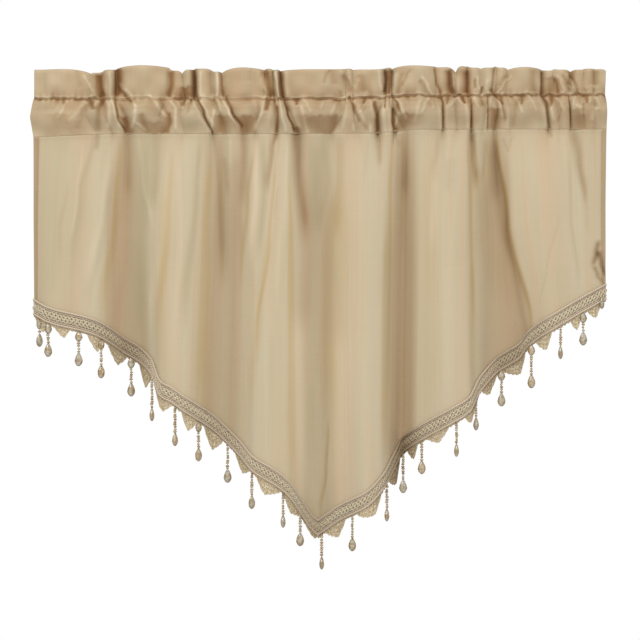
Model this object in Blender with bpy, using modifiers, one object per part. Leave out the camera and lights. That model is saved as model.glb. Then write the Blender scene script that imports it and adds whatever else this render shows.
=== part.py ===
# Short curtain: a rod pocket valance with a pointed hem and beaded trim on both sloping runs.
# Metres, +Z up, the front faces -Y. The origin is on the top edge, halfway along it.

import math
from collections import namedtuple

import bpy
import bmesh
import numpy as np
from mathutils import Vector

MM = 0.001

# Sewn sizes in mm. A drop is measured down from the top edge.
PANEL_SHEET = 1.2
HEADER_DEPTH = 2.8
POCKET_WALL = 1.7
POCKET_HALF = 9.8
SEAM_LEDGE = 4.0
STITCH_LEDGE = 3.5
SEAM_GAP = 0.3
TRIM_GAP = 0.5
BRAID_DROP = 23.0
BRAID_THICK = 2.2
LACE_THICK = 1.3
LACE_NECK = 4.0
LACE_LEAST = 8.0
HEM_COVER = 3.0
ROOT_HALF = 1.3
BEAD_SLIM = 0.55

# One row for each tuck of the gathered top, left to right, in mm. The first four columns are the
# tuck's place along the width at four heights, tuck is its depth, puff is the bulge of the cloth
# on its right, run is how far it goes down the panel, dip and crown are drops of the top edge at
# the tuck and on the puff.
Gather = namedtuple("Gather", "top stitch pocket seam tuck puff run dip crown")
GATHERS = [
    Gather(-400, -400, -405, -401, 0, 4, 0, 5.6, 4.9),
    Gather(-321, -325, -328, -312, 4, 2, 50, 11.2, 9.8),
    Gather(-304, -304, -301, -291, 7, 3, 40, 7.0, 5.6),
    Gather(-286, -284, -272, -270, 9, 10, 160, 4.2, 0.0),
    Gather(-211, -214, -224, -220, 5, 3, 60, 2.8, 7.0),
    Gather(-193, -190, -196, -190, 4, 4, 30, 11.2, 5.6),
    Gather(-174, -174, -162, -150, 9, 4, 120, 2.8, 4.2),
    Gather(-151, -151, -140, -132, 3, 3, 60, 7.0, 8.4),
    Gather(-137, -133, -120, -108, 6, 8, 90, 9.8, 2.8),
    Gather(-78, -80, -87, -90, 6, 3, 70, 5.6, 4.2),
    Gather(-66, -64, -62, -60, 7, 3, 90, 5.6, 5.6),
    Gather(-55, -50, -41, -29, 9, 11, 130, 7.0, 5.6),
    Gather(35, 35, 32, 15, 5, 3, 60, 4.2, 4.2),
    Gather(46, 48, 48, 52, 4, 6, 40, 5.6, 5.6),
    Gather(92, 91, 81, 81, 8, 3, 55, 2.8, 2.8),
    Gather(101, 101, 104, 119, 9, 8, 200, 4.2, 0.0),
    Gather(161, 164, 172, 172, 6, 4, 120, 0.7, 2.1),
    Gather(190, 188, 190, 192, 6, 4, 30, 9.8, 0.7),
    Gather(207, 207, 211, 213, 8, 3, 110, 0.0, 2.8),
    Gather(225, 228, 232, 228, 4, 4, 40, 4.2, 2.8),
    Gather(246, 246, 249, 244, 7, 3, 150, 0.0, 2.8),
    Gather(263, 262, 267, 267, 4, 7, 40, 5.6, 2.1),
    Gather(311, 312, 318, 321, 8, 3, 40, 5.6, 7.0),
    Gather(328, 329, 333, 336, 4, 4, 30, 4.2, 5.6),
    Gather(351, 349, 349, 353, 5, 3, 90, 8.4, 5.6),
    Gather(370, 368, 368, 370, 3, 3, 60, 4.2, 4.2),
    Gather(384, 384, 384, 385, 3, 3, 40, 4.2, 4.9),
    Gather(400, 399, 401, 401, 0, 0, 0, 7.0, 7.0),
]

# One row for each main fold of the panel, left to right, in mm. seam, mid and hem are its place
# along the width at the top, half-way down and at the hem, deep_mid and deep_hem how far it
# stands back (a minus is forward), braid the drop of the braid's upper edge there.
Fold = namedtuple("Fold", "name seam mid hem deep_mid deep_hem braid")
FOLDS = [
    Fold("left edge", -401, -401, -400, 2, 0, 325),
    Fold("ridge 1", -364, -372, -376, -8, -12, 338),
    Fold("ridge 1 shoulder", -311, -328, -322, -4, -8, 353),
    Fold("valley 1", -270, -281, -277, 13, 17, 380),
    Fold("valley 1 shoulder", -249, -255, -252, 8, 13, 393),
    Fold("flank 1", -235, -238, -235, -1, 1, 409),
    Fold("flank 1 front", -221, -223, -221, -10, -15, 440),
    Fold("ridge 2", -204, -207, -209, -14, -20, 447),
    Fold("ridge 2 shoulder", -182, -185, -190, -10, -18, 461),
    Fold("valley 2", -132, -133, -141, 14, 16, 496),
    Fold("flank 2", -108, -106, -109, 2, 2, 526),
    Fold("flank 2 front", -90, -90, -91, -10, -15, 546),
    Fold("ridge 3", -63, -73, -70, -15, -21, 559),
    Fold("ridge 3 shoulder", -45, -50, -49, -9, -16, 575),
    Fold("valley 3, the point", 3, -3, -3, 14, 16, 631),
    Fold("flank 3", 32, 28, 31, -4, -4, 612),
    Fold("ridge 4", 62, 62, 64, -15, -22, 594),
    Fold("ridge 4 shoulder", 87, 84, 84, -9, -15, 573),
    Fold("valley 4", 118, 116, 113, 20, 23, 525),
    Fold("flank 4", 140, 140, 137, -3, 0, 505),
    Fold("ridge 5", 182, 181, 188, -14, -19, 475),
    Fold("ridge 5 shoulder", 202, 200, 206, -9, -15, 463),
    Fold("flank 5", 216, 220, 220, 4, 1, 438),
    Fold("valley 5", 235, 248, 248, 15, 17, 408),
    Fold("valley 5 side", 252, 274, 286, 13, 17, 386),
    Fold("flank 6", 266, 288, 301, -1, 2, 368),
    Fold("ridge 6", 305, 315, 326, -13, -17, 346),
    Fold("ridge 6 shoulder", 361, 364, 368, -5, -9, 321),
    Fold("right edge", 401, 400, 400, 4, 2, 304),
]
POINT = 3.0

# The two sewn lines across the heading, as drops in mm at places along the width.
Line = namedtuple("Line", "across stitch seam")
SEWN_LINES = [
    Line(-401, 45.5, 100.5),
    Line(-280, 44.5, 95.5),
    Line(80, 41.0, 94.5),
    Line(130, 39.5, 89.5),
    Line(401, 37.0, 88.8),
]

# One row for each bead drop, left to right, in mm: place along the width, drop of its lowest
# point, whether a second bead hangs under the braid, and its turn about its thread in degrees,
# 0 with its flat face to the front.
Dangle = namedtuple("Dangle", "across low upper turn")
DANGLES = [
    Dangle(-391, 393, 1, 50),
    Dangle(-379, 407, 1, 10),
    Dangle(-337, 420, 1, 0),
    Dangle(-307, 437, 1, 35),
    Dangle(-265, 463, 1, 15),
    Dangle(-234, 497, 0, 85),
    Dangle(-202, 531, 0, 60),
    Dangle(-171, 553, 1, 40),
    Dangle(-129, 584, 0, 0),
    Dangle(-94, 619, 0, 45),
    Dangle(-52, 645, 0, 80),
    Dangle(-29, 672, 0, 10),
    Dangle(3, 706, 0, 85),
    Dangle(46, 678, 0, 20),
    Dangle(92, 637, 0, 80),
    Dangle(118, 599, 0, 0),
    Dangle(143, 571, 0, 10),
    Dangle(190, 546, 0, 85),
    Dangle(217, 510, 0, 60),
    Dangle(255, 477, 1, 0),
    Dangle(297, 451, 1, 10),
    Dangle(335, 410, 0, 80),
    Dangle(367, 391, 1, 0),
    Dangle(394, 340, 0, 70),
]

# One row for each point of the lace between the bead drops: place along the width and the drop
# of its tip, in mm.
Lace = namedtuple("Lace", "across low")
LACE = [
    Lace(-386, 372),
    Lace(-359, 380),
    Lace(-314, 401),
    Lace(-284, 418),
    Lace(-245, 450),
    Lace(-217, 482),
    Lace(-188, 509),
    Lace(-154, 537),
    Lace(-109, 569),
    Lace(-77, 598),
    Lace(-43, 624),
    Lace(-7, 661),
    Lace(24, 659),
    Lace(70, 626),
    Lace(106, 586),
    Lace(132, 550),
    Lace(165, 526),
    Lace(208, 498),
    Lace(237, 460),
    Lace(281, 431),
    Lace(316, 397),
    Lace(358, 369),
    Lace(384, 352),
]

# The beads, lathed in four sides: height above the drop's lowest point and half width, in mm.
Ring = namedtuple("Ring", "height half")
DROP_RINGS = [Ring(19.5, 1.4), Ring(14.5, 3.8), Ring(8.5, 6.0), Ring(3.5, 4.6), Ring(0, 1.2)]
UPPER_RINGS = [Ring(15, 1.4), Ring(12, 4.2), Ring(8, 5.6), Ring(4, 4.2), Ring(0, 1.4)]
THREAD_HALF = 1.3

MATERIALS = {
    "heading": ((0.42, 0.29, 0.19), 0.55),
    "panel": ((0.55, 0.44, 0.30), 0.6),
    "trim_left": ((0.60, 0.51, 0.38), 0.7),
    "trim_right": ((0.60, 0.51, 0.38), 0.7),
}


def smooth_line(xs, ys, x):
    """Monotone cubic curve through the points (xs, ys), read at x."""
    xs = np.asarray(xs, float)
    ys = np.asarray(ys, float)
    step = np.diff(xs)
    slope = np.diff(ys) / step
    tangent = np.zeros_like(ys)
    left, right = slope[:-1], slope[1:]
    same = left * right > 0
    tangent[1:-1][same] = (2 * left * right / (left + right + 1e-12))[same]
    tangent[0], tangent[-1] = slope[0], slope[-1]
    x = np.clip(np.asarray(x, float), xs[0], xs[-1])
    i = np.clip(np.searchsorted(xs, x) - 1, 0, len(step) - 1)
    t = (x - xs[i]) / step[i]
    h = step[i]
    return (
        (2 * t**3 - 3 * t**2 + 1) * ys[i]
        + (t**3 - 2 * t**2 + t) * h * tangent[i]
        + (3 * t**2 - 2 * t**3) * ys[i + 1]
        + (t**3 - t**2) * h * tangent[i + 1]
    )


def column(table, name):
    return [getattr(row, name) for row in table]


def puff_steps(width):
    """Places of the grid's columns inside one puff of the given width in mm."""
    if width < 14:
        return [0.0, 0.5]
    if width < 26:
        return [0.0, 0.33, 0.67]
    if width < 42:
        return [0.0, 0.2, 0.5, 0.8]
    if width < 60:
        return [0.0, 0.12, 0.36, 0.64, 0.88]
    return [0.0, 0.07, 0.2, 0.4, 0.6, 0.8, 0.93]


def cloth_columns():
    """Every column of the cloth as (tuck to its left, share of the way to the next tuck)."""
    columns = []
    for i, (here, after) in enumerate(zip(GATHERS, GATHERS[1:])):
        for t in puff_steps(after.seam - here.seam):
            columns.append((i, t))
    columns.append((len(GATHERS) - 2, 1.0))
    return columns


COLUMNS = cloth_columns()


def along(name):
    """A column of the gather table, carried evenly over each puff."""
    values = column(GATHERS, name)
    return np.array([values[i] * (1 - t) + values[i + 1] * t for i, t in COLUMNS])


def ripple(tuck_share, puff_share):
    """Depth of the gathered cloth at each column: back at the tucks, forward on the puffs."""
    deep = []
    for i, t in COLUMNS:
        back = GATHERS[i].tuck * (1 - t) + GATHERS[i + 1].tuck * t
        crest = math.sin(math.pi * t) ** 0.7 if 0 < t < 1 else 0.0
        deep.append(tuck_share * back * (1 - crest) - puff_share * GATHERS[i].puff * crest)
    return np.array(deep)


def pocket_swell():
    """The pocket's puffs rise more beside a deep tuck, since the rod holds the tuck's floor."""
    swell = []
    for i, t in COLUMNS:
        deep = GATHERS[i].tuck * (1 - t) + GATHERS[i + 1].tuck * t
        swell.append(0.5 * deep * (math.sin(math.pi * t) ** 0.6 if 0 < t < 1 else 0.0))
    return np.array(swell)


def top_drops():
    drops = []
    for i, t in COLUMNS:
        low = GATHERS[i].dip * (1 - t) + GATHERS[i + 1].dip * t
        crest = math.sin(math.pi * t) ** 0.7 if 0 < t < 1 else 0.0
        drops.append(low * (1 - crest) + GATHERS[i].crown * crest)
    return np.array(drops)


SEAM_X = along("seam")
STITCH_DROP = smooth_line(column(SEWN_LINES, "across"), column(SEWN_LINES, "stitch"), SEAM_X)
SEAM_DROP = smooth_line(column(SEWN_LINES, "across"), column(SEWN_LINES, "seam"), SEAM_X)
SEAM_DEEP = ripple(0.45, 0.45)


def loft(name, rings):
    """A closed solid through rings of equal point count, with a face over each end."""
    bm = bmesh.new()
    verts = [[bm.verts.new([c * MM for c in p]) for p in ring] for ring in rings]
    count = len(rings[0])
    for a, b in zip(verts, verts[1:]):
        for k in range(count):
            bm.faces.new((a[k], a[(k + 1) % count], b[(k + 1) % count], b[k]))
    bm.faces.new(verts[0])
    bm.faces.new(verts[-1])
    bmesh.ops.recalc_face_normals(bm, faces=bm.faces)
    mesh = bpy.data.meshes.new(name)
    bm.to_mesh(mesh)
    bm.free()
    return bpy.data.objects.new(name, mesh)


def heading_shape():
    """The heading's rings: the outer skin, and the pocket's hollow, one ring for each column."""
    top = top_drops()
    x_top, x_stitch, x_pocket = along("top"), along("stitch"), along("pocket")
    head_deep = ripple(1.0, 0.9)
    stitch_deep = ripple(0.5, 0.35)
    puff = ripple(0.0, 1.0) - pocket_swell()
    bulge = [(0.1, 0.65), (0.33, 1.0), (0.64, 1.0), (0.9, 0.75)]
    outer, hollow = [], []
    for j in range(len(COLUMNS)):
        high = SEAM_DROP[j] - STITCH_DROP[j]
        half = HEADER_DEPTH / 2
        front = [(SEAM_X[j], SEAM_DEEP[j] - half, SEAM_DROP[j] - SEAM_GAP / 2)]
        back = [(SEAM_X[j], SEAM_DEEP[j] + half, SEAM_DROP[j] - SEAM_GAP / 2)]
        void_front, void_back = [], []
        for share, wide in bulge:
            low = (SEAM_X[j], x_pocket[j]) if share < 0.5 else (x_pocket[j], x_stitch[j])
            mix = share * 2 if share < 0.5 else share * 2 - 1
            x = low[0] * (1 - mix) + low[1] * mix
            drop = SEAM_DROP[j] - share * high
            fore = -POCKET_HALF * wide + puff[j] * wide
            rear = POCKET_HALF * wide - 0.5 * puff[j] * wide
            front.append((x, fore - POCKET_WALL, drop))
            back.append((x, rear + POCKET_WALL, drop))
            void_drop = SEAM_DROP[j] - SEAM_LEDGE - share * (high - SEAM_LEDGE - STITCH_LEDGE)
            void_front.append((x, fore, void_drop))
            void_back.append((x, rear, void_drop))
        levels = [(0.0, x_stitch[j], stitch_deep[j]), (0.3, None, None), (0.68, None, None), (1.0, None, None)]
        for share, x, deep in levels:
            if x is None:
                x = x_stitch[j] * (1 - share) + x_top[j] * share
                deep = stitch_deep[j] * (1 - share) + head_deep[j] * share
            drop = STITCH_DROP[j] * (1 - share) + top[j] * share
            thin = half if share < 1 else half * 0.6
            front.append((x, deep - thin, drop))
            back.append((x, deep + thin, drop))
        outer.append([(x, y, -z) for x, y, z in front + back[::-1]])
        floor = (SEAM_X[j], SEAM_DEEP[j], SEAM_DROP[j] - SEAM_LEDGE)
        roof = (x_stitch[j], stitch_deep[j], STITCH_DROP[j] + STITCH_LEDGE)
        ring = [floor] + void_front + [roof] + void_back[::-1]
        hollow.append([(x, y, -z) for x, y, z in ring])
    hollow.insert(0, [(x - 15, y, z) for x, y, z in hollow[0]])
    hollow.append([(x + 15, y, z) for x, y, z in hollow[-1]])
    return outer, hollow


def build_heading(parts, cutters):
    outer, hollow = heading_shape()
    heading = loft("heading", outer)
    parts.objects.link(heading)
    cutter = loft("pocket_cutter", hollow)
    cutters.objects.link(cutter)
    cutter.hide_render = True
    cutter.display_type = "WIRE"
    cut = heading.modifiers.new("pocket", "BOOLEAN")
    cut.operation = "DIFFERENCE"
    cut.solver = "EXACT"
    cut.object = cutter
    return heading


# Rows of the panel's grid: share of the way from the seam to the braid's upper edge.
PANEL_ROWS = [0.0, 0.035, 0.08, 0.14, 0.22, 0.32, 0.44, 0.57, 0.7, 0.84, 1.0]


def fold_curve(name):
    return smooth_line(column(FOLDS, "seam"), column(FOLDS, name), SEAM_X)


BRAID_TOP = fold_curve("braid")


def panel_row(share):
    """Middle surface of the panel at one share of its height: x, y and drop of each column."""
    mid, hem = fold_curve("mid"), fold_curve("hem")
    deep_mid, deep_hem = fold_curve("deep_mid"), fold_curve("deep_hem")
    if share < 0.5:
        t = share / 0.5
        x = SEAM_X * (1 - t) + mid * t
        deep = deep_mid * (t * (2 - t))
    else:
        t = share / 0.5 - 1
        x = mid * (1 - t) + hem * t
        deep = deep_mid * (1 - t) + deep_hem * t
    length = BRAID_TOP - SEAM_DROP
    drop = SEAM_DROP + SEAM_GAP / 2 + (length - SEAM_GAP / 2) * share
    run = np.maximum(along("run"), 25.0)
    fade = np.clip(1 - share * length / run, 0, 1) ** 1.5
    return x, deep + SEAM_DEEP * fade, drop


def build_panel(parts):
    rows = [panel_row(share) for share in PANEL_ROWS]
    x, y, _ = rows[-1]
    rows.append((x, y, BRAID_TOP + BRAID_DROP - HEM_COVER))
    bm = bmesh.new()
    wide = len(COLUMNS)
    bmesh.ops.create_grid(bm, x_segments=wide - 1, y_segments=len(rows) - 1, size=1.0)
    for v in bm.verts:
        j = round((v.co.x + 1) / 2 * (wide - 1))
        k = round((1 - v.co.y) / 2 * (len(rows) - 1))
        v.co = (rows[k][0][j] * MM, rows[k][1][j] * MM, -rows[k][2][j] * MM)
    mesh = bpy.data.meshes.new("panel")
    bm.to_mesh(mesh)
    bm.free()
    panel = bpy.data.objects.new("panel", mesh)
    parts.objects.link(panel)
    sheet = panel.modifiers.new("sheet", "SOLIDIFY")
    sheet.thickness = PANEL_SHEET * MM
    sheet.offset = 0.0
    return panel


def hem_line():
    """The hem seen from above: points, mitred forward normals, length along it."""
    x, y, _ = panel_row(1.0)
    points = np.stack([x, y], axis=1)
    run = np.diff(points, axis=0)
    steps = np.hypot(run[:, 0], run[:, 1])
    face = np.stack([run[:, 1], -run[:, 0]], axis=1) / steps[:, None]
    normals = np.zeros_like(points)
    normals[0], normals[-1] = face[0], face[-1]
    for j in range(1, len(points) - 1):
        middle = face[j - 1] + face[j]
        middle /= np.hypot(*middle)
        normals[j] = middle / max(float(middle @ face[j]), 0.6)
    return points, normals, np.concatenate([[0], np.cumsum(steps)])


HEM_POINTS, HEM_NORMALS, HEM_LENGTH = hem_line()


def at_length(values, where):
    return np.interp(where, HEM_LENGTH, values)


def hem_frame(where):
    point = np.array([at_length(HEM_POINTS[:, 0], where), at_length(HEM_POINTS[:, 1], where)])
    normal = np.array([at_length(HEM_NORMALS[:, 0], where), at_length(HEM_NORMALS[:, 1], where)])
    return point, normal, float(at_length(BRAID_TOP, where))


def clear_of_columns(where):
    """Nudges a bead's root so that it lies between two columns of the cloth."""
    j = int(np.clip(np.searchsorted(HEM_LENGTH, where) - 1, 0, len(HEM_LENGTH) - 2))
    best = None
    for k in range(max(j - 2, 0), min(j + 3, len(HEM_LENGTH) - 1)):
        low, high = HEM_LENGTH[k] + ROOT_HALF + 0.5, HEM_LENGTH[k + 1] - ROOT_HALF - 0.5
        if high > low:
            place = min(max(where, low), high)
            if best is None or abs(place - where) < abs(best - where):
                best = place
    return best


def dangle_roots(first, last):
    roots = []
    for row in DANGLES:
        where = float(np.interp(row.across, HEM_POINTS[:, 0], HEM_LENGTH))
        if first <= where <= last:
            where = clear_of_columns(min(max(where, first + 6), last - 4))
            roots.append((where, row))
    return roots


def lace_tips():
    """The lace points along the hem: length along it and reach below the braid, in mm."""
    tips = []
    for row in LACE:
        where = float(np.interp(row.across, HEM_POINTS[:, 0], HEM_LENGTH))
        reach = row.low - BRAID_DROP - float(at_length(BRAID_TOP, where))
        tips.append((where, max(reach, LACE_LEAST)))
    return tips


def lace_drop(where, places, tips):
    """Reach of the lace below the braid: short at each bead's root, long at the tip between."""
    stops = [(w, LACE_NECK) for w in places] + [t for t in tips if min(abs(t[0] - w) for w in places) > 4]
    stops.sort()
    after = int(np.searchsorted([w for w, _ in stops], where))
    if after == 0 or after == len(stops):
        return LACE_NECK + 2
    (low, a), (high, b) = stops[after - 1], stops[after]
    t = (where - low) / (high - low)
    t = 1 - (1 - t) ** 1.4 if b > a else t**1.4
    return a + (b - a) * t


def build_trim(name, parts, first, last, chosen):
    roots = [(w, r) for w, r in chosen]
    places = [w for w, _ in roots]
    cuts = [first, last] + [float(w) for w in HEM_LENGTH if first + 0.8 < w < last - 0.8]
    for w in places:
        cuts += [w - ROOT_HALF, w + ROOT_HALF]
    tips = [t for t in lace_tips() if first < t[0] < last]
    for tip, _ in tips:
        cuts += [tip] + [tip + step for step in (-10, -5, 5, 10) if first < tip + step < last]
    cuts = sorted(cuts)
    kept = [cuts[0]]
    fixed = {round(float(w), 6) for w in HEM_LENGTH}
    fixed |= {round(w + s * ROOT_HALF, 6) for w in places for s in (-1, 1)}
    for w in cuts[1:]:
        if w - kept[-1] < 1.2 and round(w, 6) not in fixed and w != last:
            continue
        if w - kept[-1] < 1.2 and round(kept[-1], 6) not in fixed and len(kept) > 1:
            kept[-1] = w
            continue
        kept.append(w)
    near = PANEL_SHEET / 2 + TRIM_GAP
    rings = []
    for w in kept:
        point, normal, top = hem_frame(w)
        root = min(abs(w - p) for p in places) < ROOT_HALF + 0.01
        lace = LACE_NECK if root else lace_drop(w, places, tips)
        low = top + BRAID_DROP
        section = [
            (near + BRAID_THICK, top),
            (near + BRAID_THICK, low),
            (near + LACE_THICK, low + lace),
            (near, low + lace),
            (near, low),
            (near, top),
        ]
        rings.append([(*(point + normal * d), -z) for d, z in section])
    trim = loft(name, rings)
    parts.objects.link(trim)
    bm = bmesh.new()
    bm.from_mesh(trim.data)
    for w, row in roots:
        hang_beads(bm, w, row, near)
    bmesh.ops.recalc_face_normals(bm, faces=bm.faces)
    bm.to_mesh(trim.data)
    bm.free()
    return trim


def hang_beads(bm, where, row, near):
    """Draws one thread with its beads out of the strip's lower edge, ring by ring."""
    point, normal, top = hem_frame(where)
    spot = point + normal * (near + LACE_THICK / 2)
    normal = normal / np.hypot(*normal)
    side = np.array([-normal[1], normal[0]])
    start = top + BRAID_DROP + LACE_NECK
    root = Vector((spot[0] * MM, spot[1] * MM, -start * MM))
    face = min(bm.faces, key=lambda f: (f.calc_center_median() - root).length)
    corners = []
    for v in face.verts:
        offset = np.array([v.co.x, v.co.y]) / MM - spot
        corners.append((1 if offset @ side > 0 else -1, 1 if offset @ normal > 0 else -1))
    turn = math.radians(row.turn) - math.atan2(side[1], side[0])
    turn = (turn + math.pi / 2) % math.pi - math.pi / 2
    swap = abs(turn) > math.pi / 4
    if swap:
        turn -= math.copysign(math.pi / 2, turn)
    across = side * math.cos(turn) + normal * -math.sin(turn)
    thick = normal * math.cos(turn) + side * math.sin(turn)
    rings = [(start + 2.5, THREAD_HALF)]
    if row.upper:
        rings += [(start + 19 - r.height, r.half) for r in UPPER_RINGS]
    low = max(row.low, rings[-1][0] + 24)
    rings += [(low - r.height, r.half) for r in DROP_RINGS]
    for drop, half in rings:
        face = bmesh.ops.extrude_discrete_faces(bm, faces=[face])["faces"][0]
        slim = max(half * BEAD_SLIM, THREAD_HALF)
        a, b = (slim, half) if swap else (half, slim)
        for v, (s, n) in zip(face.verts, corners):
            place = spot + across * s * a + thick * n * b
            v.co = (place[0] * MM, place[1] * MM, -drop * MM)


def give_material(obj):
    colour, rough = MATERIALS[obj.name]
    mat = bpy.data.materials.new(obj.name)
    mat.use_nodes = True
    shader = mat.node_tree.nodes["Principled BSDF"]
    shader.inputs["Base Color"].default_value = (*colour, 1.0)
    shader.inputs["Roughness"].default_value = rough
    shader.inputs["Metallic"].default_value = 0.0
    mat.diffuse_color = (*colour, 1.0)
    obj.data.materials.append(mat)


def main():
    for obj in list(bpy.data.objects):
        bpy.data.objects.remove(obj, do_unlink=True)
    parts = bpy.data.collections.new("short_curtain")
    cutters = bpy.data.collections.new("cutters")
    bpy.context.scene.collection.children.link(parts)
    bpy.context.scene.collection.children.link(cutters)
    build_heading(parts, cutters)
    build_panel(parts)
    middle = float(np.interp(POINT, SEAM_X, HEM_LENGTH))
    end = float(HEM_LENGTH[-1])
    half_gap = 0.2
    build_trim("trim_left", parts, 0.0, middle - half_gap, dangle_roots(0.0, middle - half_gap))
    build_trim("trim_right", parts, middle + half_gap, end, dangle_roots(middle + half_gap, end))
    for obj in parts.objects:
        give_material(obj)


main()
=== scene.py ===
"""Short gathered curtain with a rod pocket, a pointed hem and beaded trim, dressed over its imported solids."""

import math
from collections import namedtuple
from contextlib import contextmanager

import bmesh
import bpy
import numpy as np
from mathutils import Matrix, Vector


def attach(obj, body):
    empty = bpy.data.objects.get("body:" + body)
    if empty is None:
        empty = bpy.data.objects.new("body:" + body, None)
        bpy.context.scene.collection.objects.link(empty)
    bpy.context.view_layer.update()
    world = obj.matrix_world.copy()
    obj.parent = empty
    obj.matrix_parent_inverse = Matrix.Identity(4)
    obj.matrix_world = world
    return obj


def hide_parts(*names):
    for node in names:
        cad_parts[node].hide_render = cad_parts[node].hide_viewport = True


bl_info = {
    "name": "Short Curtain",
    "version": (1, 0, 0),
    "blender": (4, 5, 0),
    "location": "3D Viewport > Sidebar > Curtain",
    "description": "Builds a gathered rod pocket curtain with a pointed hem, braid, lace and hanging beads",
    "category": "Add Mesh",
}

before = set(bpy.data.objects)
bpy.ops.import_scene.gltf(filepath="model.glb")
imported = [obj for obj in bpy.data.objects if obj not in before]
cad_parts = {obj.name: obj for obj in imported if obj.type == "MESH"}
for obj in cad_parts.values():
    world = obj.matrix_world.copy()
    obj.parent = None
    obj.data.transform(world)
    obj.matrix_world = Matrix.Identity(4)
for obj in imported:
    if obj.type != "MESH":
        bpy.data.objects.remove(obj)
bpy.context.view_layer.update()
MM = 0.001
HALF_WIDTH = 401.0

# The gathered top, in mm: one row for each tuck, left to right. The first four columns are the
# tuck's place along the width at four heights, tuck is its depth, puff is the bulge of the cloth
# on its right, run is how far it goes down the panel, dip and crown are drops of the top edge.
Gather = namedtuple("Gather", "top stitch pocket seam tuck puff run dip crown")
GATHERS = [Gather(*row) for row in (
    (-400, -400, -405, -401, 0, 4, 0, 5.6, 4.9), (-321, -325, -328, -312, 4, 2, 50, 11.2, 9.8),
    (-304, -304, -301, -291, 7, 3, 40, 7, 5.6), (-286, -284, -272, -270, 9, 10, 160, 4.2, 0),
    (-211, -214, -224, -220, 5, 3, 60, 2.8, 7), (-193, -190, -196, -190, 4, 4, 30, 11.2, 5.6),
    (-174, -174, -162, -150, 9, 4, 120, 2.8, 4.2), (-151, -151, -140, -132, 3, 3, 60, 7, 8.4),
    (-137, -133, -120, -108, 6, 8, 90, 9.8, 2.8), (-78, -80, -87, -90, 6, 3, 70, 5.6, 4.2),
    (-66, -64, -62, -60, 7, 3, 90, 5.6, 5.6), (-55, -50, -41, -29, 9, 11, 130, 7, 5.6),
    (35, 35, 32, 15, 5, 3, 60, 4.2, 4.2), (46, 48, 48, 52, 4, 6, 40, 5.6, 5.6),
    (92, 91, 81, 81, 8, 3, 55, 2.8, 2.8), (101, 101, 104, 119, 9, 8, 200, 4.2, 0),
    (161, 164, 172, 172, 6, 4, 120, 0.7, 2.1), (190, 188, 190, 192, 6, 4, 30, 9.8, 0.7),
    (207, 207, 211, 213, 8, 3, 110, 0, 2.8), (225, 228, 232, 228, 4, 4, 40, 4.2, 2.8),
    (246, 246, 249, 244, 7, 3, 150, 0, 2.8), (263, 262, 267, 267, 4, 7, 40, 5.6, 2.1),
    (311, 312, 318, 321, 8, 3, 40, 5.6, 7), (328, 329, 333, 336, 4, 4, 30, 4.2, 5.6),
    (351, 349, 349, 353, 5, 3, 90, 8.4, 5.6), (370, 368, 368, 370, 3, 3, 60, 4.2, 4.2),
    (384, 384, 384, 385, 3, 3, 40, 4.2, 4.9), (400, 399, 401, 401, 0, 0, 0, 7, 7),
)]

# The panel's main folds, in mm: place along the width at the top, half-way and at the hem, how
# far the cloth stands back there (a minus is forward), and the drop of the braid's upper edge.
Fold = namedtuple("Fold", "seam mid hem deep_mid deep_hem braid")
FOLDS = [Fold(*row) for row in (
    (-401, -401, -400, 2, 0, 325), (-364, -372, -376, -8, -12, 338), (-311, -314, -319, -5, -8, 353),
    (-270, -277, -275, 13, 17, 380), (-249, -255, -252, 8, 13, 393), (-235, -238, -235, -1, 1, 409),
    (-221, -223, -221, -10, -15, 440), (-204, -207, -209, -14, -20, 447), (-182, -185, -190, -10, -18, 461),
    (-132, -133, -141, 14, 16, 496), (-108, -106, -109, 2, 2, 526), (-90, -90, -91, -10, -15, 546),
    (-63, -73, -70, -15, -21, 559), (-45, -50, -49, -9, -16, 575), (3, -3, -3, 14, 16, 631),
    (32, 28, 31, -4, -4, 612), (62, 62, 64, -15, -22, 594), (87, 84, 84, -9, -15, 573),
    (118, 116, 113, 20, 23, 525), (140, 140, 137, -3, 0, 505), (182, 181, 188, -14, -19, 475),
    (202, 200, 206, -9, -15, 463), (216, 220, 220, 4, 1, 438), (235, 248, 248, 15, 17, 408),
    (252, 259, 282, 13, 17, 386), (266, 271, 296, -1, 2, 368), (305, 315, 326, -13, -17, 346),
    (361, 364, 368, -5, -9, 321), (401, 400, 400, 4, 2, 304),
)]
POINT = 3.0

# The two sewn lines across the heading: their drops in mm at places along the width.
Line = namedtuple("Line", "across stitch seam")
SEWN_LINES = [Line(*row) for row in (
    (-401, 45.5, 100.5), (-280, 45.3, 95.5), (-20, 45.6, 95), (80, 43.2, 94.5), (130, 41.2, 89.5),
    (401, 39.6, 88.8),
)]

# Soft creases in mm, three points down each: place along the width and drop. wide is the half
# width at its first and last point, deep is the depth (a minus is a ridge), shade is painted shade
# (a minus: painted light) and tone makes it golden (a minus: khaki). edge is 1 where the right side is sharp
# and -1 for the left.
Crease = namedtuple("Crease", "x1 low1 x2 low2 x3 low3 wide1 wide3 deep shade tone edge", defaults=(0, 0))


def creases(single, alike=None):
    """Creases from full rows, and from paths listed under the columns that they share."""
    paths = [(*path, *look) for look, group in (alike or {}).items() for path in group]
    return [Crease(*row) for row in (*single, *paths)]


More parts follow.
